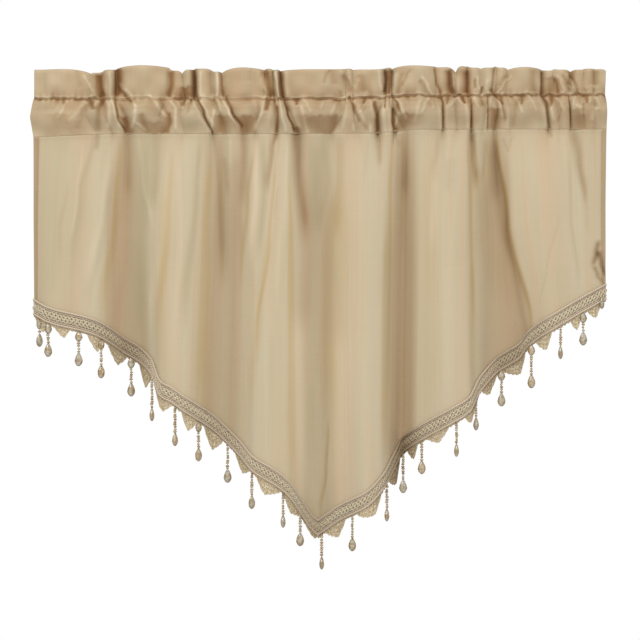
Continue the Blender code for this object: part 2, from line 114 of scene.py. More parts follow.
PANEL_CREASES = creases((
    (-353, 171, -364, 235, -364, 272, 2, 4, 0.8, 0.25, 0.1),
    (-319, 104, -335, 182, -346, 269, 6, 9, 1, 0.24, -0.4, -1),
    (-333, 122, -339, 174, -345, 240, 2.5, 3, -1, -0.2),
    (-290, 104, -302, 202, -322, 295, 6, 7, -1.5, -0.25), (-312, 97, -312, 105, -313, 118, 3, 3, 1.5, 0.5),
    (-295, 170, -309, 258, -322, 328, 5, 6, 0.4, 0.05, -0.5),
    (-279, 104, -287, 202, -302, 330, 3, 7, 0, 0.02, 1.1),
    (-269, 95, -268, 123, -269, 175, 6, 6, 1, 0.3, 0.2),
    (-229, 96, -228, 130, -232, 190, 9, 8, 0.5, 0.4, -0.3),
    (-268, 150, -272, 258, -281, 356, 5, 7, 0.8, 0.15, 0.2),
    (-255, 98, -249, 160, -235, 230, 2.5, 4, -0.9, -0.2, -0.2),
    (-240, 96, -246, 200, -254, 385, 12, 21, 0.4, -0.08, -0.95),
    (-372, 96, -374, 200, -378, 345, 26, 26, 0, 0, -0.4),
    (-207, 120, -211, 216, -226, 360, 3.5, 7, 0, 0.08, 0.9),
    (-213, 140, -221, 230, -238, 356, 5, 6, -0.5, -0.15, 0.4),
    (-197, 130, -193, 230, -204, 400, 4, 6, -0.8, -0.2, -0.2),
    (-168, 104, -172, 174, -188, 345, 4, 8, 0.8, 0.3, -0.6),
    (-155, 130, -160, 230, -166, 470, 5, 11, 0, 0.06, 1.2),
    (-147, 98, -142, 174, -138, 280, 6, 9, 0.8, 0.28, 0.2, -1),
    (-126, 103, -126, 118, -126, 140, 3, 3, -1, -0.3),
    (-140, 94, -139, 140, -138, 290, 8, 8, 0.7, 0.36, 0.1), (-104, 94, -105, 125, -108, 190, 9, 7, 1, 0.6),
    (-115, 130, -113, 180, -112, 250, 9, 7, 0.5, 0.35), (-134, 130, -132, 150, -130, 178, 3, 3, 1, 0.35),
    (-94, 122, -101, 182, -110, 290, 3, 4, 0, 0.2, 1), (-90, 108, -91, 174, -98, 260, 4, 5, -1.2, -0.35),
    (-80, 108, -78, 174, -84, 260, 5, 6, 0.6, 0.28, -0.8),
    (-60, 92, -66, 115, -72, 170, 5, 7, 1.5, 0.95, 0.2, 1),
    (-55, 103, -59, 160, -73, 290, 2.5, 4, -0.8, -0.05), (-63, 140, -71, 244, -88, 372, 2, 3, 0.5, 0.15, 1),
    (-59, 170, -61, 190, -64, 212, 1.5, 1.5, 0.5, 0.3, 0.2),
    (-45, 100, -48, 174, -59, 318, 4, 6, -1, -0.2, 0.2), (-43, 155, -41, 230, -38, 590, 2, 6, 0, 0.06, 1.2),
    (-35, 88, -31, 130, -22, 232, 8, 9, 2, 1.12, 0.2), (-6, 106, -6, 160, -6, 216, 12, 8, 0, 0.06, -0.8),
    (7, 100, 12, 160, 0, 230, 6, 8, 0, 0.12, -0.6), (28, 100, 28, 146, 25, 230, 6, 8, 0, 0.25, 0.7),
    (17, 174, 17, 258, 12, 470, 12, 14, 0, 0.1, 0.6), (67, 106, 65, 130, 63, 156, 2, 2, 0.4, 0.18),
    (80, 90, 83, 108, 84, 138, 2.5, 3, 1.8, 0.8), (101, 100, 98, 174, 94, 515, 2.5, 3, 0, 0.1, 1.2),
    (102, 170, 102, 300, 98, 560, 6, 7, 0, -0.45, 0.3),
    (122, 112, 120, 230, 116, 560, 5, 7, 1.2, 0.3, 0.3, 1), (102, 90, 105, 98, 110, 112, 3, 4, 1.2, 0.4),
    (168, 90, 165, 118, 159, 150, 3.5, 5, 1, 0.25, -0.3),
    (182, 130, 180, 150, 179, 178, 8, 8, 0, 0.15, -0.5),
    (160, 160, 159, 200, 157, 246, 5, 5, 0, -0.1, -0.4),
    (188, 230, 182, 342, 179, 456, 8, 8, 0, -0.1, -0.3), (207, 100, 211, 202, 214, 345, 2, 3, 0.6, 0.3, 1),
    (213, 94, 215, 123, 219, 164, 4.5, 5, 3, 0.95, 0.4), (240, 98, 241, 125, 245, 185, 9, 8, 0.5, 0.4, 0.2),
    (116, 98, 119, 130, 119, 175, 10, 9, 0.5, 0.3, 0.2), (232, 106, 231, 132, 229, 160, 2.5, 2, 1, 0.3),
    (246, 94, 263, 225, 297, 366, 8, 6.5, 1.2, 0.52, 0.2, 1),
    (249, 106, 263, 205, 296, 366, 2.8, 2.6, -0.4, 0.2, 1.5),
    (242, 112, 250, 180, 262, 262, 8, 8, 0.5, 0.24, 0.2),
    (222, 150, 236, 230, 262, 330, 17, 26, 0.3, 0.12, 0.5),
    (152, 130, 150, 260, 150, 500, 20, 20, 0, 0.05, 0.5), (32, 200, 30, 330, 26, 560, 12, 12, 0, 0.02, 0.4),
    (-41, 220, -41, 330, -40, 520, 6, 7, 0, 0.02, 0.75), (-221, 180, -221, 280, -223, 430, 6, 7, 0, 0, 0.6),
    (91, 240, 89, 330, 88, 520, 4, 4, 0, 0.1, 0.8), (212, 280, 213, 370, 214, 460, 5, 6, 0, 0.05, 0.6),
    (-76, 240, -84, 340, -96, 460, 5, 6, 0, 0.03, 0.6),
    (-370, 105, -372, 200, -375, 330, 26, 26, 0, -0.02, -0.4),
    (332, 280, 342, 330, 352, 390, 30, 26, 0, -0.03, -0.4), (0, 300, 0, 480, 0, 800, 230, 130, 0, -0.1),
    (238, 174, 244, 286, 249, 372, 14, 16, 0, 0, -0.1), (256, 102, 259, 110, 263, 120, 2, 2, 0.6, 0.3),
    (271, 98, 266, 108, 263, 122, 2, 2, 0.6, 0.25), (319, 88, 321, 93, 324, 100, 2.5, 2, 1.5, 0.6),
    (350, 130, 351, 207, 361, 300, 2, 2.5, 0.9, 0.32, -0.3),
    (332, 216, 316, 286, 307, 328, 1.5, 1.5, 0.6, 0.22), (357, 92, 363, 132, 371, 185, 7, 4, 2.2, 1, 0.2),
    (371, 174, 373, 200, 374, 232, 3, 3, 0.4, 0.15, -0.4), (390, 246, 387, 262, 383, 280, 4, 4, 2.4, 1.4),
    (391, 260, 394, 276, 399, 294, 4, 4, 2.4, 1.5), (385, 282, 389, 293, 395, 304, 3, 4, 2.4, 1.3),
    (-68, 384, -68, 477, -68, 550, 5, 5, 0, -0.06, -0.7),
    (-12, 440, -13, 524, -12, 600, 8, 11, 0, -0.1, -0.8),
    (-28, 360, -26, 480, -20, 610, 13, 13, 0, -0.55, 0.2),
    (24, 380, 24, 480, 16, 600, 20, 14, 0, -0.3, 0.2), (12, 505, 9, 570, 2, 622, 2.5, 4, 1, 0.35, 0.8, 1),
    (65, 384, 61, 440, 58, 510, 5, 5, 0, -0.12, -0.4),
))
HEADING_CREASES = creases((
    (-385, 9, -385, 24, -385, 41, 4, 4, 0.5, 0.15), (-339, 5, -338, 16, -335, 30, 4, 4, 1, 0.2),
    (-330, 13, -323, 28, -314, 43, 2, 1.5, -1.5, -0.25, 0.3),
    (-308, 12, -307, 28, -303, 44, 7.8, 10.4, 3, 1.15, 0.4, 1),
    (-295, 9, -293, 28, -294, 44, 3, 3, -2.4, -0.05),
    (-286, 3, -286, 22, -286, 42, 5.2, 7.8, 4, 1.1, 0, -1), (-279, 4, -279, 12, -280, 24, 6, 6, 1, 0.5),
    (-283, 29, -272, 42, -262, 52, 2.5, 2.5, 1.5, 0.8), (-257, 56, -258, 73, -263, 88, 3, 3, -2.5, -0.35),
    (-287, 44, -283, 73, -273, 93, 2.1, 2.8, 3.5, 0.94, 0, -1),
    (-274, 71, -270, 83, -266, 95, 7, 8, 1, 0.8, 0.3), (-208, 7, -208, 25, -212, 44, 6, 4, 2, 0.85),
    (-223, 47, -218, 60, -214, 68, 3.5, 3.5, 1.2, 0.3), (-212, 44, -201, 62, -202, 91, 2.5, 3, -2.6, -0.3),
    (-249, 69, -246, 81, -242, 95, 5, 7, 1, 0.5, 0.4), (-231, 79, -230, 87, -229, 96, 10, 12, 1, 0.42, 0.5),
    (-210, 66, -209, 78, -214, 95, 5, 10, 1.5, 0.75, 0.5, 1),
    (-259, 79, -251, 84, -245, 92, 3, 3, -1.5, -0.4), (-189, 29, -189, 37, -188, 46, 9, 12, 2, 0.75, 0.4),
    (-176, 2, -175, 22, -174, 45, 5.2, 5.2, 5, 1.3, 0, 1), (-154, 7, -153, 25, -150, 40, 5, 5, 1.5, 0.35),
    (-139, 5, -137, 22, -135, 43, 3.25, 3.9, 3, 0.7, 0, 1),
    (-98, 7, -98, 13, -98, 22, 10, 10, 0.5, 0.2, 0.2), (-85, 7, -81, 25, -73, 42, 2.5, 2.5, -2, -0.25, 0.4),
    (-75, 7, -72, 25, -69, 44, 5.5, 6.5, 3.5, 0.95, 0.3), (-63, 10, -60, 25, -59, 44, 2, 2, -2.5, -0.3),
    (-55, 6, -54, 22, -51, 46, 3.9, 3.9, 5, 1.6, 0, 1), (-326, 48, -337, 64, -349, 79, 3, 5, -1, -0.1),
    (-322, 51, -332, 70, -339, 88, 4, 6, 1, 0.25), (-364, 68, -364, 84, -364, 99, 22, 22, 0, 0.22, 0.3),
    (-321, 46, -319, 54, -317, 61, 4.5, 4, 1.5, 0.95), (-308, 47, -313, 54, -317, 61, 2, 2, -1.2, -0.25),
    (-302, 45, -309, 64, -311, 92, 3, 6, 2, 0.5, -0.5), (-292, 44, -287, 62, -279, 89, 2, 3, -2, -0.3),
    (-200, 48, -197, 54, -194, 60, 1.8, 1.8, -1, -0.2), (-181, 45, -187, 53, -192, 61, 2, 2, -1.5, -0.25),
    (-190, 47, -190, 51, -190, 57, 6, 6, 0.5, 0.35), (-179, 47, -183, 59, -185, 69, 2.5, 2.5, 1, 0.3),
    (-171, 45, -162, 67, -150, 96, 1.2, 1.4, 3, 1.1), (-176, 51, -168, 70, -156, 93, 3, 3, -1, -0.15),
    (-138, 70, -137, 83, -137, 96, 8, 14, 1.3, 0.72, 0.5), (-147, 61, -150, 78, -152, 92, 2, 2, -1.5, -0.3),
    (-132, 42, -123, 64, -109, 86, 1.6, 2, 2.5, 1), (-135, 47, -126, 68, -113, 89, 2.5, 2.5, -2, -0.35),
    (-104, 71, -103, 83, -101, 97, 16, 10, 1.3, 0.68, 0.5), (-79, 42, -81, 62, -90, 90, 3, 3, -3, -0.35),
    (-72, 46, -73, 53, -75, 64, 4, 3, 1.2, 0.9), (-60, 57, -59, 76, -61, 97, 2, 3, 2.3, 0.9, -0.2),
    (-51, 44, -45, 67, -36, 90, 1.4, 2.1, 4, 1.27), (-34, 86, -33, 92, -32, 99, 5, 5, 2, 1),
    (-42, 47, -36, 67, -29, 88, 3.5, 3.5, -1.5, -0.2), (-27, 55, -22, 76, -18, 96, 2.5, 2.5, -1.5, -0.25),
    (-4, 71, -2, 84, 0, 97, 24, 15, 1.3, 0.5, 0.4), (23, 69, 21, 81, 15, 97, 9, 8, 1, 0.42, 0.4, 1),
    (29, 6, 42, 20, 48, 32, 2, 2, -1.5, -0.15, 0.3), (34, 12, 39, 25, 42, 38, 5, 5, 1.5, 0.4),
    (27, 33, 29, 38, 31, 43, 2.5, 2.5, 1.5, 0.4), (57, 13, 60, 22, 63, 36, 8, 8, 1, 0.35, 0.3),
    (53, 19, 50, 31, 46, 42, 2.5, 2.5, -1.2, -0.15), (91, 5, 92, 20, 90, 38, 5.2, 3.9, 4.5, 1.2, 0, -1),
    (99, 6, 98, 22, 97, 40, 3.9, 3.9, 3, 0.8), (95, 22, 94, 31, 94, 40, 1.5, 1.5, -2, -0.2),
    (160, 3, 162, 22, 168, 39, 2, 2.5, 2.5, 0.7, 0, -1),
    (181, 6, 183, 24, 186, 42, 7.5, 7.5, 3.5, 0.95, 0.2, 1), (183, 7, 183, 24, 187, 39, 3, 3, 2, 0.6),
    (190, 12, 192, 25, 193, 37, 2.5, 2.5, -2, -0.1), (206, 7, 207, 22, 206, 39, 9.1, 7.8, 3, 0.75, 0.2, 1),
    (221, 16, 220, 25, 224, 35, 2, 2, -2, -0.2), (217, 19, 217, 25, 217, 32, 2, 2, 2, 0.5),
    (244, 3, 243, 20, 241, 37, 2.5, 2.5, 2.5, 0.55, 0, 1), (239, 33, 241, 37, 244, 42, 2.5, 2.5, 2, 0.8),
    (267, 14, 256, 28, 248, 40, 2, 2, -1.8, -0.2, 0.4), (259, 14, 256, 20, 252, 28, 5, 5, 1, 0.35),
    (310, 7, 310, 22, 309, 41, 3, 3.6, 2.8, 0.75, 0, -1), (321, 16, 322, 26, 321, 40, 8, 9, 1.5, 0.5, 0.3),
    (352, 6, 352, 16, 350, 27, 6, 6, 1, 0.6, 0.2), (297, 5, 297, 18, 299, 36, 6, 5, 0.5, 0.35, 0.2),
    (17, 5, 17, 14, 20, 26, 7, 6, 0.5, 0.35, 0.2), (329, 17, 332, 28, 333, 39, 2.5, 2.5, 2, 0.6),
    (340, 13, 346, 25, 350, 36, 2, 2, 1.5, 0.4), (351, 13, 358, 28, 361, 39, 2.5, 2.5, 2, 0.5),
    (386, 7, 385, 17, 384, 27, 8, 8, 1, 0.45, 0.3), (31, 45, 35, 59, 32, 89, 3.5, 3.5, -1.8, -0.15),
    (41, 44, 47, 59, 55, 80, 1.8, 2.2, 2.4, 0.55), (60, 48, 60, 55, 60, 64, 5, 5, 0.5, 0.3),
    (69, 45, 73, 59, 77, 75, 3, 3, -1.8, -0.25), (76, 52, 80, 74, 81, 98, 3, 4, 3.2, 1.1),
    (62, 82, 64, 86, 65, 91, 3, 3, 0.8, 0.4), (89, 42, 88, 64, 91, 96, 4, 4, -2.5, -0.25),
    (92, 44, 91, 52, 90, 60, 1.5, 1.5, 2, 0.8), (101, 60, 101, 78, 104, 93, 3, 5, 4, 1.4, 0, -1),
    (106, 44, 113, 57, 120, 78, 2.5, 2.5, -2.2, -0.3), (123, 68, 118, 78, 111, 92, 14, 10, 1.3, 0.55, 0.5),
    (153, 44, 154, 50, 155, 57, 2, 2, 0.6, 0.3), (168, 41, 171, 56, 172, 92, 2.2, 2.7, 3.5, 0.85, 0, -1),
    (177, 52, 176, 70, 176, 88, 3, 3, -1.2, -0.1), (195, 40, 199, 47, 202, 54, 2.2, 2.2, 3, 1.1),
    (210, 44, 211, 62, 211, 90, 1.7, 2.4, 4, 0.94, 0, -1), (224, 44, 226, 50, 227, 58, 2.5, 2.5, 1.2, 0.4),
    (233, 42, 234, 62, 234, 89, 1.4, 1.7, 3, 0.68, 0, -1),
    (244, 60, 244, 76, 244, 90, 8, 10, 1.5, 0.75, 0.4), (246, 41, 255, 56, 259, 78, 2, 2, 1.5, 0.5),
    (276, 45, 272, 64, 269, 88, 4, 4, 1, 0.25, -0.4), (309, 40, 317, 56, 321, 90, 2, 2.5, 2.6, 0.68),
    (316, 44, 322, 59, 326, 78, 3, 3, -1.8, -0.2), (336, 61, 335, 68, 333, 78, 2, 2, 0.6, 0.25),
    (347, 44, 349, 62, 350, 90, 1.4, 2.1, 3, 0.77, 0, -1),
    (358, 60, 360, 74, 362, 90, 13, 14, 0.5, 0.5, 0.3), (386, 62, 385, 76, 385, 90, 12, 12, 0, 0.22, 0.2),
    (323, 40, 323, 48, 322, 58, 6, 1.5, 1, 0.7, 0.2), (283, 40, 282, 47, 281, 56, 5, 1.5, 1, 0.7, 0.2),
    (178, 41, 178, 47, 177, 55, 5, 1.5, 1, 0.8, 0.2), (62, 43, 62, 48, 61, 54, 4, 1.5, 1, 0.6, 0.2),
    (-358, 46, -358, 50, -357, 55, 4, 1.5, 0.8, 0.55, 0.2),
    (-372, 60, -366, 72, -362, 84, 24, 30, 0, -0.13, 0.1), (-188, 62, -184, 70, -182, 80, 16, 16, 0, -0.06),
    (-52, 8, -54, 24, -54, 40, 4, 3, -1, 0.4, 0.2), (-352, 47, -358, 60, -366, 76, 2, 2.5, -1.2, -0.16),
), {
    (2.5, 2.5, -2, -0.3): (
        (-274, 31, -263, 45, -257, 60), (-237, 42, -226, 56, -216, 74), (-167, 47, -157, 69, -149, 86),
        (111, 62, 108, 76, 104, 88),
    ),
    (3, 3, -2, -0.25): (
        (-168, 7, -168, 25, -168, 43), (-144, 7, -143, 25, -144, 43), (-296, 45, -294, 64, -295, 86),
    ),
    (3, 3, -2, -0.2): (
        (-49, 7, -48, 25, -46, 43), (105, 10, 104, 25, 102, 39), (92, 49, 97, 70, 99, 96),
        (203, 51, 206, 67, 207, 89),
    ),
    (2, 2, -1.2, -0.2): (
        (-327, 48, -324, 54, -320, 60), (216, 44, 218, 52, 221, 60), (367, 43, 367, 48, 367, 54),
        (377, 42, 377, 47, 377, 53), (28, 36, 33, 41, 37, 47), (55, 92, 57, 87, 61, 82),
        (69, 92, 67, 86, 63, 82), (240, 43, 237, 50, 235, 58), (-24, 46, -18, 55, -13, 66),
    ),
    (4, 4, -1, -0.1): ((-66, 44, -69, 62, -73, 88), (263, 47, 265, 64, 263, 89)),
    (2.5, 2.5, -2, -0.25): ((-56, 51, -53, 70, -48, 92), (144, 16, 151, 28, 157, 42)),
    (2.5, 2.5, -2, -0.2): ((83, 5, 84, 20, 87, 36), (243, 42, 251, 56, 253, 72)),
    (3, 3, 1.5, 0.3): ((115, 10, 111, 25, 109, 40), (140, 21, 147, 34, 151, 43)),
    (2, 2, 2, 0.8): ((227, 30, 226, 36, 224, 42), (101, 41, 108, 55, 111, 66)),
    (3, 3, -1.5, -0.15): (
        (234, 19, 232, 31, 235, 40), (164, 44, 168, 62, 169, 89), (305, 44, 313, 62, 316, 86),
    ),
    (2, 2, -1.8, -0.2): ((330, 12, 337, 22, 343, 37), (346, 12, 353, 24, 358, 36)),
    (2, 2, 1.2, 0.4): ((371, 32, 372, 37, 372, 42), (383, 32, 383, 37, 382, 42)),
    (3, 3, -1.5, -0.2): ((45, 44, 53, 60, 60, 78), (139, 48, 136, 64, 132, 80)),
    (2, 2, -1.5, -0.2): ((193, 41, 186, 52, 182, 58), (67, 47, 61, 57, 56, 67)),
    (4, 4, -1.5, -0.25): ((361, 55, 364, 61, 367, 69), (386, 58, 383, 67, 381, 78)),
    (4, 1.5, 1, 0.7, 0.2): (
        (372, 40, 372, 46, 372, 53), (252, 41, 253, 47, 254, 54), (-32, 46, -32, 51, -33, 57),
    ),
    (2, 2, -1.4, -0.2): (
        (151, 45, 146, 57, 141, 70), (152, 45, 156, 53, 159, 61), (272, 44, 277, 54, 282, 68),
        (26, 47, 20, 58, 15, 72), (-146, 45, -141, 55, -139, 66),
    ),
    (2, 2.5, 1, 0.35, 0.2): ((14, 6, 9, 12, 6, 24), (127, 5, 121, 13, 115, 28)),
    (2, 2, -1.3, -0.2): ((190, 43, 194, 49, 198, 56), (215, 43, 212, 49, 209, 57)),
    (2, 2, -1.2, -0.16): ((292, 42, 297, 52, 302, 66), (6, 46, 3, 54, 1, 64)),
    (2, 2, -1.2, -0.18): (
        (330, 44, 336, 54, 341, 66), (356, 42, 354, 48, 353, 56), (384, 42, 387, 49, 390, 57),
        (-40, 46, -36, 52, -33, 60), (-94, 46, -90, 55, -88, 66),
    ),
})

# The bead drops: place along the width, drop of the lowest point in mm, whether a second bead
# hangs under the braid, and the turn about the thread in degrees, 0 with the flat face in front.
Dangle = namedtuple("Dangle", "across low upper turn")
DANGLES = [Dangle(*row) for row in (
    (-391, 393, 1, 50), (-379, 407, 1, 10), (-337, 420, 1, 0), (-307, 437, 1, 35), (-265, 463, 1, 15),
    (-234, 497, 0, 85), (-202, 531, 0, 60), (-171, 553, 1, 40), (-129, 584, 0, 0), (-94, 619, 0, 45),
    (-52, 645, 0, 80), (-29, 672, 0, 10), (3, 706, 0, 85), (46, 678, 0, 20), (92, 637, 0, 80),
    (118, 599, 0, 0), (143, 571, 0, 10), (190, 546, 0, 85), (217, 510, 0, 60), (255, 477, 1, 0),
    (297, 451, 1, 10), (335, 410, 0, 80), (367, 391, 1, 0), (394, 340, 0, 70),
)]

# The points of the lace: where each starts, has its tip and ends along the width, and the drop
# of the tip in mm.
Lace = namedtuple("Lace", "start tip end low")
LACE = [Lace(*row) for row in (
    (-398, -387, -379, 372), (-371, -358, -350, 380), (-325, -312, -306, 400), (-298, -285, -271, 418),
    (-253, -244, -235, 450), (-232, -219, -206, 482), (-193, -185, -173, 509), (-163, -152, -136, 537),
    (-118, -108, -97, 569), (-88, -77, -55, 598), (-51, -42, -29, 624), (-21, -9, -1, 661),
    (8, 26, 36, 659), (52, 76, 85, 626), (95, 106, 112, 586), (124, 132, 137, 550), (150, 166, 180, 526),
    (202, 210, 222, 498), (226, 237, 249, 460), (256, 281, 289, 431), (303, 316, 323, 397),
    (349, 358, 366, 369), (373, 385, 393, 352),
)]

# How dark the trims look along the hem, 0 to 1, where the folds turn them from the light.
TRIM_SHADE = [
    (-401, 0.10), (-360, 0.00), (-325, 0.05), (-300, 0.25), (-272, 0.60), (-250, 0.50), (-235, 0.20),
    (-212, 0.00), (-170, 0.05), (-148, 0.25), (-130, 0.35), (-108, 0.20), (-88, 0.05), (-50, 0.05),
    (-20, 0.25), (0, 0.30), (12, 0.08), (62, 0.00), (86, 0.20), (104, 0.60), (116, 1.00), (128, 0.60),
    (146, 0.15), (190, 0.00), (208, 0.15), (232, 0.30), (252, 0.50), (272, 0.45), (292, 0.25),
    (320, 0.05), (370, 0.05), (401, 0.12),
]

# Sizes in mm. SEAM_GAP lies between the panel and the heading, POCKET_HALF is half the pocket's
# depth and LAYER_GAP half the space between the header's layers. QUIET_SEWING holds the middles
# and half widths of the places where the sewn line shows less. BRAID_DROP is the braid's height,
# HEM_COVER how far it reaches below the cloth, MITRE its drop at the point, TRIM_LIFT how far it
# stands in front of the cloth and SIDE_HEM the width of the side hems. SHARP narrows the steep
# side of a crease and TWO_PLY is the swell of a twisted cord, both as shares.
SEAM_GAP = 0.04
POCKET_HALF = 9.8
QUIET_SEWING = ((-246.0, 34.0), (-120.0, 36.0))
LAYER_GAP = 0.9
BRAID_DROP = 23.0
HEM_COVER = 3.0
MITRE = 5.0
TRIM_LIFT = 1.1
SIDE_HEM = 8.0
SHARP = 0.35
TWO_PLY = 0.16

# How the heading's creases begin and end, as shares of their length, and how unevenly, in mm.
HEADING_ENDS = {"starts": 0.07, "ends": 0.16, "wobble": 1.9}

# How far the pocket's cloth stands out, as a share, from its lower seam up to the stitch line.
POCKET_RISE = (
    [0.0, 0.12, 0.28, 0.45, 0.6, 0.74, 0.87, 0.95, 1.0],
    [0.0, 0.2, 0.52, 0.84, 0.99, 1.0, 0.76, 0.38, 0.0],
)


def length_setting(name, text, default):
    return bpy.props.FloatProperty(name=name, description=text, default=default, unit="LENGTH")


def power_setting(name, text, default):
    return bpy.props.FloatProperty(name=name, description=text, default=default, unit="POWER")


def colour_setting(name, text, default):
    return bpy.props.FloatVectorProperty(
        name=name, description=text, subtype="COLOR", size=3, default=default, min=0, max=1
    )


class CurtainClothSettings(bpy.types.PropertyGroup):
    """Sizes and colours of the cloth."""

    sheet: length_setting("Cloth thickness", "Thickness of the cloth", 0.0006)
    light: colour_setting("Light threads", "Colour of the cloth in the light", (0.505, 0.436, 0.306))
    gold: colour_setting("Gold threads", "Colour along the warm threads", (0.475, 0.365, 0.205))
    khaki: colour_setting("Khaki threads", "Colour along the cool threads", (0.432, 0.378, 0.243))
    rose: colour_setting("Rose threads", "Colour of the streaks between the folds", (0.525, 0.402, 0.272))
    # Partly the deeper colour of two layers, partly painted shade where less light comes through them.
    lined: colour_setting("Two layers", "Tint of the cloth where it lies double", (0.90, 0.835, 0.77))
    roughness: bpy.props.FloatProperty(
        name="Roughness", description="Roughness of the cloth", default=0.52, min=0, max=1
    )


class CurtainTrimSettings(bpy.types.PropertyGroup):
    """Sizes and colours of the braid and the lace."""

    cord: length_setting("Edge cord", "Radius of the braid's edge cords", 0.0015)
    pitch: length_setting("Gimp pitch", "Length of one turn of the plaited gimp", 0.0165)
    cord_colour: colour_setting("Edge cord colour", "Colour of the edge cords", (0.66, 0.56, 0.44))
    gimp_colour: colour_setting("Gimp colour", "Colour of the braid's woven middle", (0.69, 0.615, 0.465))
    lace_colour: colour_setting("Lace colour", "Colour of the lace points", (0.70, 0.60, 0.42))


class CurtainBeadSettings(bpy.types.PropertyGroup):
    """Sizes and colours of the beads."""

    seed: length_setting("Seed bead", "Spacing of the small beads on each thread", 0.0033)
    glass: colour_setting("Bead colour", "Colour of the clear beads", (0.78, 0.67, 0.48))


class CurtainStageSettings(bpy.types.PropertyGroup):
    """The studio around the curtain."""

    distance: length_setting("Camera distance", "From the camera to the cloth", 4.0)
    key: power_setting("Key light", "Power of the main softbox", 60.0)
    side: power_setting("Side light", "Power of the side light", 10.0)
    ambient: bpy.props.FloatProperty(
        name="Room light", description="Strength of the even light", default=0.6, min=0
    )
    floor: length_setting("Floor drop", "Depth of the floor below the top edge", 1.3)


def column(table, name):
    return np.array([getattr(row, name) for row in table], float)


def smooth_step(value):
    value = np.clip(value, 0, 1)
    return value * value * (3 - 2 * value)


def bell(off, wide):
    """A soft bump: 1 in its middle, falling off over wide on both sides."""
    return np.exp(-((off / wide) ** 2))


def smooth_line(xs, ys, x):
    """Monotone cubic curve through the points (xs, ys), read at x."""
    step = np.diff(xs)
    slope = np.diff(ys) / step
    tangent = np.zeros_like(ys)
    left, right = slope[:-1], slope[1:]
    same = left * right > 0
    tangent[1:-1][same] = (2 * left * right / (left + right + 1e-12))[same]
    tangent[0], tangent[-1] = slope[0], slope[-1]
    x = np.clip(np.asarray(x, float), xs[0], xs[-1])
    i = np.clip(np.searchsorted(xs, x) - 1, 0, len(step) - 1)
    t = (x - xs[i]) / step[i]
    return (
        (2 * t**3 - 3 * t**2 + 1) * ys[i]
        + (t**3 - 2 * t**2 + t) * step[i] * tangent[i]
        + (3 * t**2 - 2 * t**3) * ys[i + 1]
        + (t**3 - t**2) * step[i] * tangent[i + 1]
    )


def gather(u):
    """The tuck on the left of each place u along the seam, and the share of the puff passed."""
    seams = column(GATHERS, "seam")
    i = np.clip(np.searchsorted(seams, u, "right") - 1, 0, len(seams) - 2)
    return i, (u - seams[i]) / (seams[i + 1] - seams[i])


def crest(t, power=0.7):
    return np.clip(np.sin(np.pi * np.clip(t, 0, 1)), 0, 1) ** power


def along(u, name):
    """A column of the gather table at the places u, carried evenly over each puff."""
    values = column(GATHERS, name)
    i, t = gather(u)
    return values[i] * (1 - t) + values[i + 1] * t


def ripple(u, tuck_share, puff_share):
    """Depth of the gathered cloth: back at the tucks, forward on the puffs."""
    i, t = gather(u)
    rise = crest(t)
    return tuck_share * along(u, "tuck") * (1 - rise) - puff_share * column(GATHERS, "puff")[i] * rise


def seam_drop(u):
    return smooth_line(column(SEWN_LINES, "across"), column(SEWN_LINES, "seam"), u)


def stitch_drop(u):
    even = smooth_line(column(SEWN_LINES, "across"), column(SEWN_LINES, "stitch"), u)
    return even + 1.3 * pucker(u * 0.6, 3.0) + 0.5 * pucker(u * 1.3, 6.0) + ripple(u, 0.18, 0)


def pucker(u, seed):
    """Small uneven gathers along a sewn line."""
    return (
        np.sin(u / 1.55 + seed)
        + 0.7 * np.sin(u / 2.9 + 1.7 * seed)
        + 0.6 * np.sin(u / 5.3 + 0.4 * seed)
    ) / 2.3


def crumple(x, drop):
    """Faint uneven creases of the gathered double cloth, in mm."""
    return 0.32 * (
        np.sin(x / 6.1 + drop / 7.3)
        + np.sin(x / 8.9 - drop / 5.2 + 1.0 + 1.5 * np.sin(x / 57))
        + np.sin(x / 13.7 + drop / 11.0 + 2.0 * np.sin(x / 91 + 2))
    )


def seam_relief(u, seam):
    """How far the heading's creases stand back or forward where they reach the lower seam."""
    relief, _, _ = crease_sum(HEADING_CREASES, u, seam, **HEADING_ENDS)
    return relief + 0.35 * pucker(u * 0.8, 5.0) + crumple(u, seam)


def fold_curve(u, name):
    return smooth_line(column(FOLDS, "seam"), column(FOLDS, name), u)


def braid_drop(u):
    """The drop of the braid's upper edge, with the sharp mitre at the point."""
    return fold_curve(u, "braid") + MITRE * np.exp(-np.abs(u - POINT) / 7.0)


def panel_at(u, share):
    """The panel's middle surface at places u and shares of its height, with its shade and tone."""
    mid, hem = fold_curve(u, "mid"), fold_curve(u, "hem")
    deep_mid, deep_hem = fold_curve(u, "deep_mid"), fold_curve(u, "deep_hem")
    top = braid_drop(u)
    seam = seam_drop(u)
    held = np.clip(share, 0, 1)
    t = held * 2
    x = np.where(t < 1, u * (1 - t) + mid * t, mid * (2 - t) + hem * (t - 1))
    deep = np.where(t < 1, deep_mid * (t * (2 - t)), deep_mid * (2 - t) + deep_hem * (t - 1))
    length = top - seam
    run = np.maximum(along(u, "run"), 25.0)
    fade = np.clip(1 - held * length / run, 0, 1) ** 1.5
    low = seam + SEAM_GAP / 2 + (length - SEAM_GAP / 2) * held
    extra, shade, tone = crease_sum(PANEL_CREASES, x, low, ends=0.45)
    sunk = smooth_step((deep + 3) / 15)
    joint = seam_relief(u, seam) * bell(held * length, 14)
    y = deep + ripple(u, 0.45, 0.45) * fade + extra * np.clip((1 - held) / 0.1, 0, 1) + joint
    drop = np.where(share <= 1, low, top + (share - 1) * (BRAID_DROP - HEM_COVER))
    below = (held * length) / 28
    tucked = np.clip(ripple(u, 0.12, 0.0), 0, 1) * fade
    # Painted shade: darker in deep folds, just under the seam and in the tucks.
    shade = shade * 0.85 + sunk * 0.6 + 0.14 * np.exp(-below) + 0.4 * tucked
    return x, y, drop, shade, tone


